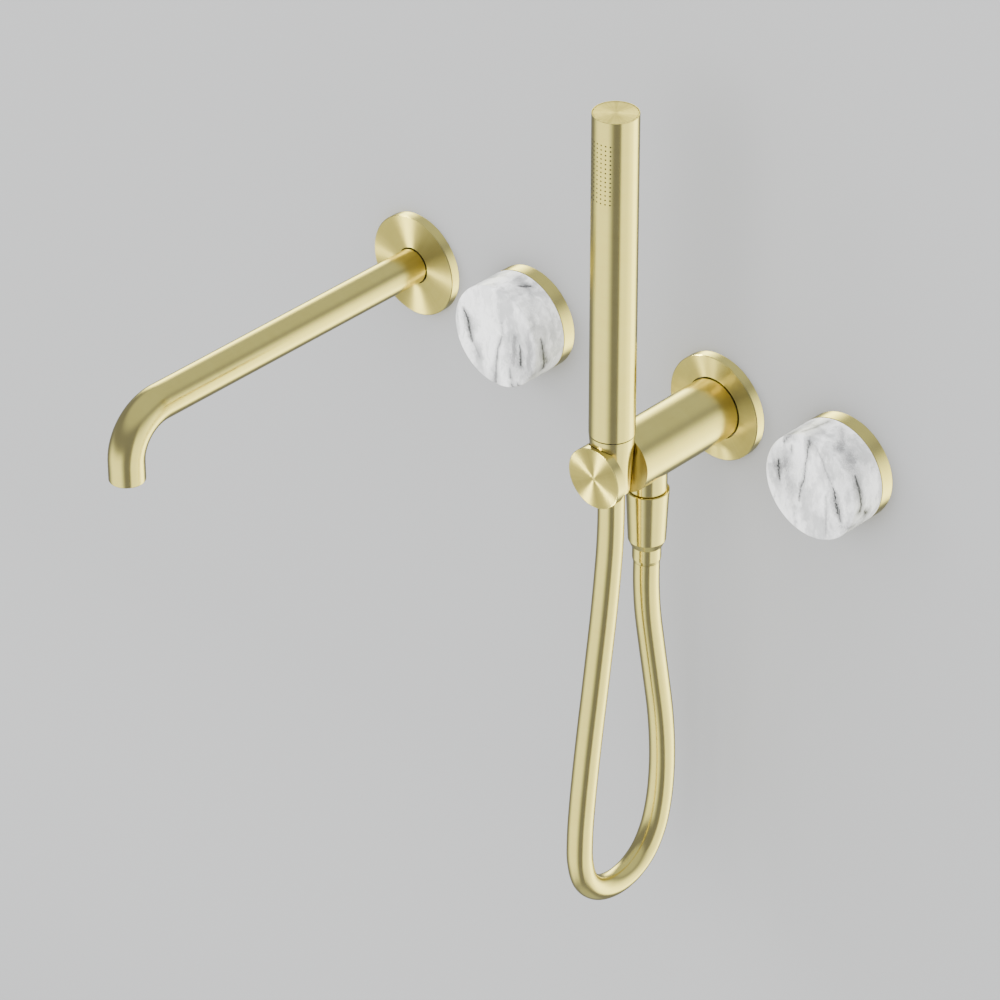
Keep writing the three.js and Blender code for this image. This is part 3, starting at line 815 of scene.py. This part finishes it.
def make_cover_plate(prefix, hole):
    """A cover plate, hollow at its back. The wall of its hole gets the dark rubber finish: painted shade that
    makes the gap read as a thin dark seam.
    """
    name = f"{prefix}_cover_plate"
    plate = Round(name, "y")
    r, front = plate.radius, plate.low
    outline = [
        (hole, front), (r - PLATE_BEVEL, front), (r, front + PLATE_BEVEL), (r, 0, PLATE_FILLET),
        (r - PLATE_RIM, 0, PLATE_FILLET), (r - PLATE_RIM, -PLATE_RECESS), (hole, -PLATE_RECESS),
    ]
    piece = turned_for(name, outline, "y", plate.at, sides=LARGE_SIDES)
    finish_flats(piece, "y")
    # painted shade: the faces of the hole take the dark rubber finish, so that the gap reads as a dark seam
    finish_faces(piece, "rubber", lambda face: math.hypot(face.center.x, face.center.z) < hole + 0.01 * MM)


NIPPLE_BORE = 4.5 * MM
SPIGOT_RADIUS = {"spout": 8.2 * MM, "arm": 9.0 * MM}
# grooves of the spigot, for the O-ring and for the grub screw: middle, half width and depth
ORING_GROOVE = (-18 * MM, 1.3 * MM, 1.8 * MM)
SCREW_GROOVE = (-11.5 * MM, 2.1 * MM, 1.3 * MM)
THREAD_FROM = 2 * MM
THREAD_PITCH = 1.814 * MM
THREAD_DEPTH = 1.0 * MM
THREAD_ROWS = 14
THREAD_CREASE = math.radians(50)


def cut_thread(piece, crest, thread_to):
    """Sinks the rows of a turned piece into a helical thread, which fades in and out at its ends."""
    for vertex in piece.data.vertices:
        x, y, z = vertex.co
        radius = math.hypot(x, z)
        if radius < crest - 1e-6 or y < THREAD_FROM:
            continue
        phase = (y / THREAD_PITCH - math.atan2(x, z) / TAU) % 1
        cut = min(1, max(0, 2.6 * abs(phase - 0.5) - 0.15))
        fade = min(1, (y - THREAD_FROM) / THREAD_PITCH, (thread_to - y) / THREAD_PITCH + 0.35)
        scale = (crest - THREAD_DEPTH * cut * max(0, fade)) / radius
        vertex.co = (x * scale, y, z * scale)


def make_nipple(prefix):
    """Wall nipple with a real helical thread behind the wall."""
    name = f"{prefix}_wall_nipple"
    nipple = Round(name, "y")
    spigot, crest, back = SPIGOT_RADIUS[prefix], nipple.radius, nipple.high
    outline = [(NIPPLE_BORE, nipple.low), (spigot, nipple.low, 0.3 * MM)]
    for at, half, depth in (ORING_GROOVE, SCREW_GROOVE):
        floor, low, high = spigot - depth, at - half, at + half
        outline += [(spigot, low), (floor, low), (floor, high), (spigot, high)]
    outline += [(spigot, THREAD_FROM)]
    rows = math.ceil((back - THREAD_FROM) / THREAD_PITCH * THREAD_ROWS)
    outline += [(crest, THREAD_FROM + (back - THREAD_FROM) * k / rows) for k in range(rows + 1)]
    outline += [(NIPPLE_BORE, back)]
    piece = turned_raw(f"{name}_skin", outline, "y", nipple.at, SMALL_SIDES)
    cut_thread(piece, crest, back)
    soften(piece, THREAD_CREASE)
    axial_uv(piece, "y")
    stand_for(piece, "root", "raw_brass", "raw_brass", name)


# ---- shower arm
ARM_SLOT_BACK = -78.1 * MM
ARM_SLOT_FRONT = -95.7 * MM
ARM_EDGE = 0.35 * MM
ARM_BACK_FILLET = 0.2 * MM
ARM_BEVEL = 0.22 * MM
ARM_SOCKET_RADIUS = 9.4 * MM
ARM_SOCKET_DEPTH = 24 * MM
CONE_SMALL = 9.7 * MM
NUT_CLEARANCE = 0.4 * MM
# outlet: depth of its seat in the arm, heights of its thick part's top and of the ledge in its bore, and the
# radii of its plug in the arm, its neck for the hose's nut, its mouth and its bore
OUTLET_SEAT = 13 * MM
OUTLET_TOP = -13.4 * MM
OUTLET_LEDGE = -20 * MM
OUTLET_PLUG = 8 * MM
OUTLET_NECK = 9.3 * MM
OUTLET_MOUTH = 6.4 * MM
OUTLET_BORE = 5 * MM


def cone_of_nut():
    """Radius of the conical nut under the hand shower, as a function of height."""
    nut = Round("upper_hose_nut", "z")
    slope = (nut.radius - CONE_SMALL) / (nut.high - nut.low)
    return lambda z: CONE_SMALL + (z - nut.low) * slope


def make_arm():
    """A solid cylinder. The cone that holds the hand shower, its slot and two seats are cut out of it."""
    arm = Round("bracket_arm", "y")
    at = Round("arm_cover_plate", "y").at
    hand = Round("handset_tube", "z").at
    out = Round("arm_outlet", "z")
    cone = cone_of_nut()
    r = half_width("bracket_arm")
    over = r + 2 * MM
    piece = turned_raw("bracket_arm_skin", [
        (0, arm.low), (r, arm.low, ARM_EDGE), (r, arm.high, ARM_BACK_FILLET), (0, arm.high),
    ], "y", at, LARGE_SIDES)
    cuts = [
        turned_raw("cut", [
            (0, -over), (cone(-over) + NUT_CLEARANCE, -over), (cone(over) + NUT_CLEARANCE, over), (0, over),
        ], "z", hand, LARGE_SIDES),
        box_solid("cut", (0, ARM_SLOT_FRONT, -over), (2 * over, ARM_SLOT_BACK, over)),
        cylinder_cut(out.radius + GAP, -over, out.low + OUTLET_SEAT, "z", out.at, MIDDLE_SIDES),
        cylinder_cut(ARM_SOCKET_RADIUS, -ARM_SOCKET_DEPTH, 1 * MM, "y", at, MIDDLE_SIDES),
    ]
    combine(piece, cuts, "DIFFERENCE")
    bevelled(piece, ARM_BEVEL, 2)
    soften(piece)
    axial_uv(piece, "y")
    stand_for(piece, "root", "brushed_brass", "tube", "bracket_arm")
    finish_faces(piece, "plate", lambda face: face.normal.y < -0.99 and face.center.y < arm.low + 0.05 * MM)
    # painted shade: the faces inside the cone, slot and seats take the dark cut_brass finish
    finish_faces(piece, "cut_brass", lambda face: (
        face.center.y > arm.low + 0.5 * MM and math.hypot(face.center.x, face.center.z) < r - 0.3 * MM
    ))
    shade_as_cylinder(piece, "y", (arm.low, arm.high))
    make_cover_plate("arm", r + PLATE_PLAY)
    make_nipple("arm")
    make_outlet(out)


def make_outlet(out):
    r, low, high = out.radius, out.low, out.high
    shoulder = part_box("lower_hose_nut")[1].z + GAP
    outline = [
        (OUTLET_BORE, high), (OUTLET_PLUG, high), (OUTLET_PLUG, OUTLET_TOP), (r, OUTLET_TOP),
        (r, shoulder, 0.1 * MM), (OUTLET_NECK, shoulder), (OUTLET_NECK, low, 0.3 * MM),
        (OUTLET_MOUTH, low), (OUTLET_MOUTH, OUTLET_LEDGE), (OUTLET_BORE, OUTLET_LEDGE),
    ]
    turned_for("arm_outlet", outline, "z", out.at)


# ---- fittings at the two ends of the hose
# the upper nut is a little short, so that the seam under the hand shower reads as a dark line; its top faces
# are also painted dark there as shade
SEAM_EXTRA = 0.25 * MM
FERRULE_BORE = 4.2 * MM
SLEEVE_RADIUS = 7.85 * MM
LEDGE_HEIGHT = 1.8 * MM


def make_lower_fittings():
    nut, ferrule = Round("lower_hose_nut", "z"), Round("lower_hose_ferrule", "z")
    top, low, r = nut.high, nut.low, nut.radius
    ledge = low + LEDGE_HEIGHT
    hole = SLEEVE_RADIUS + GAP
    turned_for("lower_hose_nut", [
        (9.7 * MM, top, 0.1 * MM), (r - 0.2 * MM, top, 0.15 * MM), (r, top - 0.35 * MM, 0.3 * MM),
        (11.3 * MM, -34 * MM, 2 * MM), (10.3 * MM, -57.2 * MM, 0.5 * MM), (8.5 * MM, low, 0.25 * MM),
        (hole, low), (hole, ledge), (7.3 * MM, ledge), (7.3 * MM, -40 * MM), (9.7 * MM, -40 * MM),
    ], "z", nut.at)
    low, high = ferrule.low, ferrule.high
    turned_for("lower_hose_ferrule", [
        (FERRULE_BORE, high), (9.2 * MM, high), (9.2 * MM, -39.6 * MM), (6.9 * MM, -39.6 * MM),
        (6.9 * MM, ledge - GAP), (SLEEVE_RADIUS, ledge - GAP), (SLEEVE_RADIUS, low + 2 * MM, 1.2 * MM),
        (SLEEVE_RADIUS - 0.4 * MM, low, 0.15 * MM), (FERRULE_BORE, low),
    ], "z", ferrule.at)


def make_upper_fittings():
    nut, ferrule = Round("upper_hose_nut", "z"), Round("upper_hose_ferrule", "z")
    top = nut.high - SEAM_EXTRA
    piece = turned_for("upper_hose_nut", [
        (9.8 * MM, top), (nut.radius, top, 0.1 * MM), (CONE_SMALL, nut.low, 0.4 * MM),
        (7.6 * MM, nut.low, 0.2 * MM), (7.6 * MM, 8.2 * MM), (9.8 * MM, 8.2 * MM),
    ], "z", nut.at, "handset", sides=LARGE_SIDES)
    # painted shade: the nut's upward faces take the dark rubber finish, so that the seam under the hand
    # shower reads darker
    finish_faces(piece, "rubber", lambda face: face.normal.z > 0.9)
    low, high = ferrule.low, ferrule.high
    turned_for("upper_hose_ferrule", [
        (FERRULE_BORE, high), (9.3 * MM, high), (9.3 * MM, 8.6 * MM), (7.2 * MM, 8.6 * MM),
        (7.2 * MM, low, 0.3 * MM), (FERRULE_BORE, low),
    ], "z", ferrule.at, "hose_end")


# ---- hand shower
SPRAY_COLUMNS = 6
SPRAY_ROWS = 14
SPRAY_TURN = math.radians(12)
SPRAY_LOW = 164.7 * MM
SPRAY_PITCH = 2.57 * MM
SPRAY_RADIUS = 0.46 * MM
SPRAY_DEPTH = 0.8 * MM
CELL = 4  # steps along each side of a spray hole's cell
ROWS_BELOW = 30
ROWS_ABOVE = 4
TUBE_EDGE = 0.35 * MM
TUBE_FOOT_FILLET = 0.2 * MM
TUBE_BORE = 11.1 * MM
# recess of the disc in the top: its radius, the height of its ledge, and the disc's play and body
DISC_RECESS = 11.8 * MM
DISC_LEDGE = 209 * MM
DISC_EDGE = 0.12 * MM
DISC_BODY = 10.7 * MM


class TubeSkin:
    """A mesh wrapped round the hand shower's tube. Its columns start at one side of the spray field."""

    def __init__(self, sides):
        self.sides = sides
        self.vertices = []
        self.faces = []

    def turn_of(self, column):
        return -SPRAY_COLUMNS / 2 * SPRAY_TURN + column * SPRAY_TURN / CELL

    def add(self, turn, z, radius):
        self.vertices.append((radius * math.sin(turn), -radius * math.cos(turn), z))
        return len(self.vertices) - 1

    def follow(self, ring, outline):
        """Rings that follow an outline of (radius, height) from a first ring, and the last of them."""
        for radius, z in outline:
            rings = [ring, [self.add(self.turn_of(k), z, radius) for k in range(self.sides)]]
            self.faces += faces_between(rings, closed=False)
            ring = rings[-1]
        return ring

    def spray_hole(self, border, turn, z, radius):
        """A hole inside its cell's border, and the numbers of the faces of its wall and bottom."""
        rings = [border]
        for level in (radius, radius - SPRAY_DEPTH):
            ring = []
            for n in range(len(border)):
                angle = -3 * math.pi / 4 + TAU * n / len(border)
                at_turn = turn + SPRAY_RADIUS * math.cos(angle) / radius
                ring.append(self.add(at_turn, z + SPRAY_RADIUS * math.sin(angle), level))
            rings.append(ring)
        self.faces += faces_between(rings, closed=False)
        self.faces.append(tuple(rings[-1]))
        return range(len(self.faces) - len(border) - 1, len(self.faces))


def handset_rows(low, high):
    """Heights of the rings of the outer skin, and the first ring of the spray field."""
    field_low = SPRAY_LOW - SPRAY_PITCH / 2
    field_high = field_low + SPRAY_PITCH * SPRAY_ROWS
    below = [low + (field_low - low) * k / ROWS_BELOW for k in range(ROWS_BELOW)]
    field = [field_low + SPRAY_PITCH * k / CELL for k in range(SPRAY_ROWS * CELL)]
    above = [field_high + (high - field_high) * k / ROWS_ABOVE for k in range(ROWS_ABOVE + 1)]
    return below + field + above, len(below)


def cell_border(row, column):
    """Grid places round one cell, counter-clockwise from its lower left corner."""
    border = [(row, column + n) for n in range(CELL)]
    border += [(row + n, column + CELL) for n in range(CELL)]
    border += [(row + CELL, column + CELL - n) for n in range(CELL)]
    border += [(row + CELL - n, column) for n in range(CELL)]
    return border


def make_outer_skin(skin, rows, first, radius):
    """The grid round the tube, with its spray holes. Gives its lowest and its highest ring, and the numbers
    of the faces inside the holes."""
    field_rows, field_columns = SPRAY_ROWS * CELL, SPRAY_COLUMNS * CELL
    grid = {}
    for j, z in enumerate(rows):
        for k in range(skin.sides):
            in_field = first < j < first + field_rows and 0 < k < field_columns
            if not (in_field and (j - first) % CELL and k % CELL):
                grid[j, k] = skin.add(skin.turn_of(k), z, radius)
    for j in range(len(rows) - 1):
        for k in range(skin.sides):
            if not (first <= j < first + field_rows and k < field_columns):
                i = (k + 1) % skin.sides
                skin.faces.append((grid[j, k], grid[j, i], grid[j + 1, i], grid[j + 1, k]))
    inside = []
    for j in range(first, first + field_rows, CELL):
        for k in range(0, field_columns, CELL):
            border = [grid[place] for place in cell_border(j, k)]
            middle = (rows[j] + rows[j + CELL]) / 2
            inside += skin.spray_hole(border, skin.turn_of(k + CELL / 2), middle, radius)
    ends = [[grid[j, k] for k in range(skin.sides)] for j in (0, len(rows) - 1)]
    return *ends, inside


def make_handset_tube():
    """The tube with real spray holes. Each hole takes the middle of its own cell of the outer skin."""
    tube = Round("handset_tube", "z")
    r, low, high = tube.radius, tube.low, tube.high
    skin = TubeSkin(round(TAU / SPRAY_TURN) * CELL)
    rows, first = handset_rows(low + TUBE_EDGE, high - TUBE_EDGE)
    ring_low, ring_high, inside = make_outer_skin(skin, rows, first, r)
    top, _ = rounded([
        (r, high - TUBE_EDGE), (r, high, TUBE_EDGE),
        (DISC_RECESS, high, DISC_EDGE), (DISC_RECESS, DISC_LEDGE),
    ])
    foot, _ = rounded([(r, low + TUBE_EDGE), (r, low, TUBE_FOOT_FILLET), (TUBE_BORE, low)])
    last_top = skin.follow(ring_high, [*top[1:], (TUBE_BORE, DISC_LEDGE)])
    last_foot = skin.follow(ring_low, foot[1:])
    skin.faces += faces_between([last_top, last_foot], closed=False)
    piece = new_object("handset_tube_skin", skin.vertices, skin.faces)
    piece.location = tube.at
    for number in inside:
        piece.data.polygons[number].material_index = 1
    face_out(piece)
    soften(piece)
    axial_uv(piece, "z")
    stand_for(piece, "handset", "brushed_brass", "tube", "handset_tube")
    piece.data.materials.append(materials["rubber"])
    shade_as_cylinder(piece, "z", (low + TUBE_EDGE, high - TUBE_EDGE))


def make_handset():
    make_handset_tube()
    cap = Round("handset_top_cap", "z")
    r, ledge = DISC_RECESS - DISC_EDGE, DISC_LEDGE + 0.3 * MM
    piece = turned_for("handset_top_cap", [
        (0, cap.high), (r, cap.high, 0.25 * MM), (r, ledge),
        (DISC_BODY, ledge), (DISC_BODY, cap.low), (0, cap.low),
    ], "z", cap.at, "handset", sides=LARGE_SIDES)
    finish_flats(piece, "z", "top_face")


# ---- mixers
KNOB_FRONT_FILLET = 1.4 * MM
KNOB_HOLLOW = 20 * MM
KNOB_HOLLOW_END = -22 * MM
TRIM_HOLE = 22.3 * MM
TRIM_RIM = 3 * MM
SLEEVE_WALL = 1 * MM
# valve body: the cavity that holds the cartridge, and the wider mouth in front of it
CAVITY_RADIUS = 16.6 * MM
CAVITY_END = 30 * MM
MOUTH_RADIUS = 18.3 * MM
MOUTH_END = 8 * MM
# its ports: how far into the wall their axes are, and distances from the middle of the body
PORT_AT = 40 * MM
PORT_RADIUS = 12.5 * MM
PORT_FROM = 12 * MM
PORT_BORE = 9.3 * MM
PORT_BORE_FROM = 22 * MM
PORT_CHAMFER = 0.9 * MM
THROAT_RADIUS = 4 * MM
THROAT_FROM = 8 * MM
VALVE_PORTS = [("x", -1), ("x", 1), ("z", 1)]  # axis and side


def make_knob(prefix):
    name = f"{prefix}_marble_knob"
    knob = Round(name, "y")
    r, front, back = knob.radius, knob.low, knob.high
    turned_for(name, [
        (0, front), (r, front, KNOB_FRONT_FILLET), (r, back, 0.3 * MM), (KNOB_HOLLOW, back),
        (KNOB_HOLLOW, KNOB_HOLLOW_END), (0, KNOB_HOLLOW_END),
    ], "y", knob.at, f"{prefix}_knob", "marble", f"{prefix}_marble", LARGE_SIDES)


def make_trim(prefix):
    trim = Round(f"{prefix}_trim_ring", "y")
    r, front = trim.radius, trim.low
    ring = turned_for(f"{prefix}_trim_ring", [
        (TRIM_HOLE, front), (r, front, 0.2 * MM), (r, 0, 0.2 * MM), (r - TRIM_RIM, 0, 0.2 * MM),
        (r - TRIM_RIM, -3 * MM), (TRIM_HOLE, -3 * MM),
    ], "y", trim.at, sides=LARGE_SIDES)
    finish_flats(ring, "y")
    sleeve = Round(f"{prefix}_trim_sleeve", "y")
    r, low, high = sleeve.radius, sleeve.low, sleeve.high
    turned_for(f"{prefix}_trim_sleeve", [
        (r - SLEEVE_WALL, low), (r, low, 0.2 * MM), (r, high, 0.3 * MM), (r - SLEEVE_WALL, high, 0.3 * MM),
    ], "y", sleeve.at, slot="steel", finish="steel", sides=LARGE_SIDES)


def make_valve_body(prefix):
    """A cup for the cartridge with a bored port on each side and one on top."""
    name = f"{prefix}_valve_body"
    low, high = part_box(name)
    at = Vector(((low.x + high.x) / 2, 0, 0))
    centre = at + Vector((0, PORT_AT, 0))
    reach, r = half_width(name), -low.z
    body = turned_raw(f"{name}_skin", [
        (0, CAVITY_END), (CAVITY_RADIUS, CAVITY_END), (CAVITY_RADIUS, MOUTH_END), (MOUTH_RADIUS, MOUTH_END),
        (MOUTH_RADIUS, low.y), (r, low.y, 0.4 * MM), (r, high.y, 1.5 * MM), (0, high.y),
    ], "y", at, LARGE_SIDES)
    arms = [turned_raw("port", [
        (0, PORT_FROM * side), (PORT_RADIUS, PORT_FROM * side), (PORT_RADIUS, reach * side, 0.6 * MM),
        (0, reach * side),
    ], axis, centre, MIDDLE_SIDES) for axis, side in VALVE_PORTS]
    combine(body, arms, "UNION")
    past = reach + 0.1 * MM
    bores = [turned_raw("bore", [
        (0, THROAT_FROM * side), (THROAT_RADIUS, THROAT_FROM * side), (THROAT_RADIUS, PORT_BORE_FROM * side),
        (PORT_BORE, PORT_BORE_FROM * side), (PORT_BORE, (reach - 0.8 * MM) * side),
        (PORT_BORE + PORT_CHAMFER, past * side), (0, past * side),
    ], axis, centre, MIDDLE_SIDES) for axis, side in VALVE_PORTS]
    combine(body, bores, "DIFFERENCE")
    bevelled(body, 0.5 * MM, 3)
    soften(body)
    axial_uv(body, "y")
    weighted(body)
    stand_for(body, "root", "raw_brass", "raw_brass", name)


make_spout()
make_arm()
make_lower_fittings()
make_upper_fittings()
make_handset()
for mixer in ("bath", "shower"):
    make_knob(mixer)
    make_trim(mixer)
    make_valve_body(mixer)

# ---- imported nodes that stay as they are
slots = {entry["node"]: entry["material_slot"] for entry in frame["record"]["subparts"]}
for name, packed in frame["nodes"].items():
    finish = {"brushed_brass": "tube", "marble": "bath_marble"}.get(slots[name], slots[name])
    packed.data.materials.clear()
    packed.data.materials.append(materials[finish])

# The metal doesn't mirror the mixers, nor what is in the wall.
for piece in bpy.data.objects:
    of_mixer = piece.name.startswith(("bath_", "shower_")) and not piece.name.startswith("shower_hose")
    if of_mixer or "nipple" in piece.name:
        piece.visible_glossy = False


# ---- stage
WALL_FROM = -1.2
WALL_TO = 0.62
WALL_TOP = 0.62
COVE_TOP = -0.31
COVE_RADIUS = 0.22
COVE_STEPS = 24
COVE_CREASE = math.radians(60)
FLOOR_REACH = 9.0
BACKDROP = (0.30, 0.303, 0.308, 1)


def stage_material():
    """Matt paint that is clear from behind and from below."""
    material = bpy.data.materials.new("stage")
    material.use_nodes = True
    tree = material.node_tree
    tree.nodes.clear()
    paint = node(tree, "ShaderNodeBsdfDiffuse", {"Color": BACKDROP})
    clear = node(tree, "ShaderNodeBsdfTransparent")
    behind = node(tree, "ShaderNodeNewGeometry").outputs["Backfacing"]
    mix = node(tree, "ShaderNodeMixShader", {0: behind, 1: paint.outputs[0], 2: clear.outputs[0]})
    node(tree, "ShaderNodeOutputMaterial", {"Surface": mix.outputs[0]})
    return material


def make_backdrop():
    """A wall panel that curves down into a floor."""
    profile = [(0.0, WALL_TOP)]
    for cosine, sine in quarter_turn(COVE_STEPS):
        profile.append((-COVE_RADIUS * (1 - cosine), COVE_TOP - COVE_RADIUS * sine))
    vertices = [(x, y, z) for y, z in profile for x in (WALL_FROM, WALL_TO)]
    faces = [(2 * k, 2 * k + 1, 2 * k + 3, 2 * k + 2) for k in range(len(profile) - 1)]
    wall = new_object("stage_wall", vertices, faces)
    if wall.data.polygons[0].normal.y > 0:
        wall.data.flip_normals()
    soften(wall, COVE_CREASE)
    signs = ((-1, -1), (1, -1), (1, 1), (-1, 1))
    corners = [(x * FLOOR_REACH, y * FLOOR_REACH, COVE_TOP - COVE_RADIUS) for x, y in signs]
    floor = new_object("stage_floor", corners, [(0, 1, 2, 3)])
    material = stage_material()
    for part in (wall, floor):
        part.data.materials.append(material)
        part.visible_glossy = False
        part.visible_shadow = False
        part.visible_diffuse = False


# ---- studio
# Soft boxes, as bands of azimuth and elevation in degrees. Their edges are left, right, low and high, each
# as (middle, half its softness), and the last number is the strength.
SOFT_BOXES = [
    ((70, 5), (172, 12), (-50, 5), (10, 26), 1.7),
    ((112, 14), (172, 12), (-50, 5), (10, 26), 0.8),
    ((136, 8), (170, 8), (-46, 6), (-14, 14), 1.6),
    ((-152, 14), (-118, 8), (-2, 8), (22, 16), 6.0),
    ((-180, 1), (180, 1), (36, 12), (95, 2), 0.42),
    ((-66, 22), (20, 18), (-58, 12), (-8, 12), 1.6),
    ((-180, 1), (180, 1), (-97, 2), (-70, 7), 0.35),
]
AMBIENT = 0.25
# colour of the light where it is dark, dim and bright, and the strengths at which each holds
DARK_TINT = (0.97, 1.01, 0.94)
DIM_TINT = (0.96, 1.01, 0.63)
BRIGHT_TINT = (1.0, 0.99, 0.43)
DARK_AT = 0.25
DIM_AT = 0.6
BRIGHT_AT = 2.5
DIFFUSE_LIGHT = 2.75
SURROUND = (1, 1.005, 1.01, 1)
SURROUND_LIGHT = 1.1


def band_edge(tree, value, at, softness, rising):
    """1 on one side of a soft edge and 0 on the other."""
    low, high = math.radians(at - softness), math.radians(at + softness)
    if not rising:
        low, high = high, low
    return ramp(tree, value, low, high, smooth=True)


def soft_boxes(tree):
    """Strength of the light from each direction."""
    towards = node(tree, "ShaderNodeTexCoord").outputs["Generated"]
    parts = node(tree, "ShaderNodeSeparateXYZ", {0: towards}).outputs
    azimuth = maths(tree, "ARCTAN2", parts["X"], maths(tree, "MULTIPLY", parts["Y"], -1))
    elevation = maths(tree, "ARCSINE", parts["Z"])
    total = AMBIENT
    for left, right, low, high, strength in SOFT_BOXES:
        share = strength
        for value, (at, softness), rising in (
            (azimuth, left, True), (azimuth, right, False), (elevation, low, True), (elevation, high, False),
        ):
            share = maths(tree, "MULTIPLY", band_edge(tree, value, at, softness, rising), share)
        total = maths(tree, "ADD", share, total)
    return total


def make_studio():
    """World light: soft boxes on a dim surround, for the metal. White things get plain even light, and the
    camera sees a plain pale background."""
    world = bpy.data.worlds.new("studio")
    bpy.context.scene.world = world
    world.use_nodes = True
    tree = world.node_tree
    tree.nodes.clear()
    light = soft_boxes(tree)
    dim = ramp(tree, light, DARK_AT, DIM_AT)
    bright = ramp(tree, light, DIM_AT, BRIGHT_AT)
    tint = mixed(tree, bright, mixed(tree, dim, DARK_TINT, DIM_TINT), BRIGHT_TINT)
    boxes = node(tree, "ShaderNodeBackground", {"Color": tint, "Strength": light}).outputs[0]
    even = node(tree, "ShaderNodeBackground", {"Color": (1, 1, 1, 1), "Strength": DIFFUSE_LIGHT}).outputs[0]
    plain = node(tree, "ShaderNodeBackground", {"Color": SURROUND, "Strength": SURROUND_LIGHT}).outputs[0]
    ray = node(tree, "ShaderNodeLightPath").outputs
    lit = node(tree, "ShaderNodeMixShader", {0: ray["Is Diffuse Ray"], 1: boxes, 2: even}).outputs[0]
    seen = node(tree, "ShaderNodeMixShader", {0: ray["Is Camera Ray"], 1: lit, 2: plain}).outputs[0]
    node(tree, "ShaderNodeOutputWorld", {"Surface": seen})


def area_light(name, place, back, size, power):
    """A round area light that shines away from a direction."""
    data = bpy.data.lights.new(name, "AREA")
    data.shape = "DISK"
    data.size = size
    data.energy = power
    light = bpy.data.objects.new(name, data)
    light.location = place
    light.rotation_mode = "QUATERNION"
    light.rotation_quaternion = back.to_track_quat("Z", "Y")
    light.visible_camera = False
    bpy.context.scene.collection.objects.link(light)
    return light


# Small lights that each draw one bright sector on a turned face: the piece, the azimuth and the elevation
# that the light comes from, in degrees, its width in metres and its power in watts.
FACE_LIGHTS = [
    ("bracket_arm_skin", -14, 26, 0.65, 40),
    ("bracket_arm_skin", 7.5, -65, 0.65, 40),
    ("arm_cover_plate_skin", -67, 18, 0.36, 16),
    ("arm_cover_plate_skin", -40, 21, 0.36, 9),
    ("spout_cover_plate_skin", 21.5, -28, 0.36, 12),
    ("spout_cover_plate_skin", -54, 19, 0.7, 34),
    ("handset_top_cap_skin", -137, 33, 0.36, 4.5),
]
FACE_LIGHT_DISTANCE = 1.5
# large lights that the metal doesn't mirror: name, place, width and power
SOFT_LIGHTS = [
    ("front_light", (0.3, -3.0, 1.2), 2.4, 75),
    ("left_light", (-2.4, -1.6, 1.6), 2.0, 50),
]
SOFT_LIGHT_AIM = Vector((0, -0.05, 0))


def make_lights():
    for piece_name, azimuth, elevation, size, power in FACE_LIGHTS:
        piece = bpy.data.objects[piece_name]
        towards = direction_of(math.radians(azimuth), math.radians(elevation))
        place = piece.location + FACE_LIGHT_DISTANCE * towards
        light = area_light("face_light", place, towards, size, power)
        light.data.color = BRIGHT_TINT
        lit = bpy.data.collections.new(f"lit_{piece_name}")
        lit.objects.link(piece)
        light.light_linking.receiver_collection = lit
    for name, place, size, power in SOFT_LIGHTS:
        light = area_light(name, place, Vector(place) - SOFT_LIGHT_AIM, size, power)
        light.visible_glossy = False


make_backdrop()
make_studio()
make_lights()
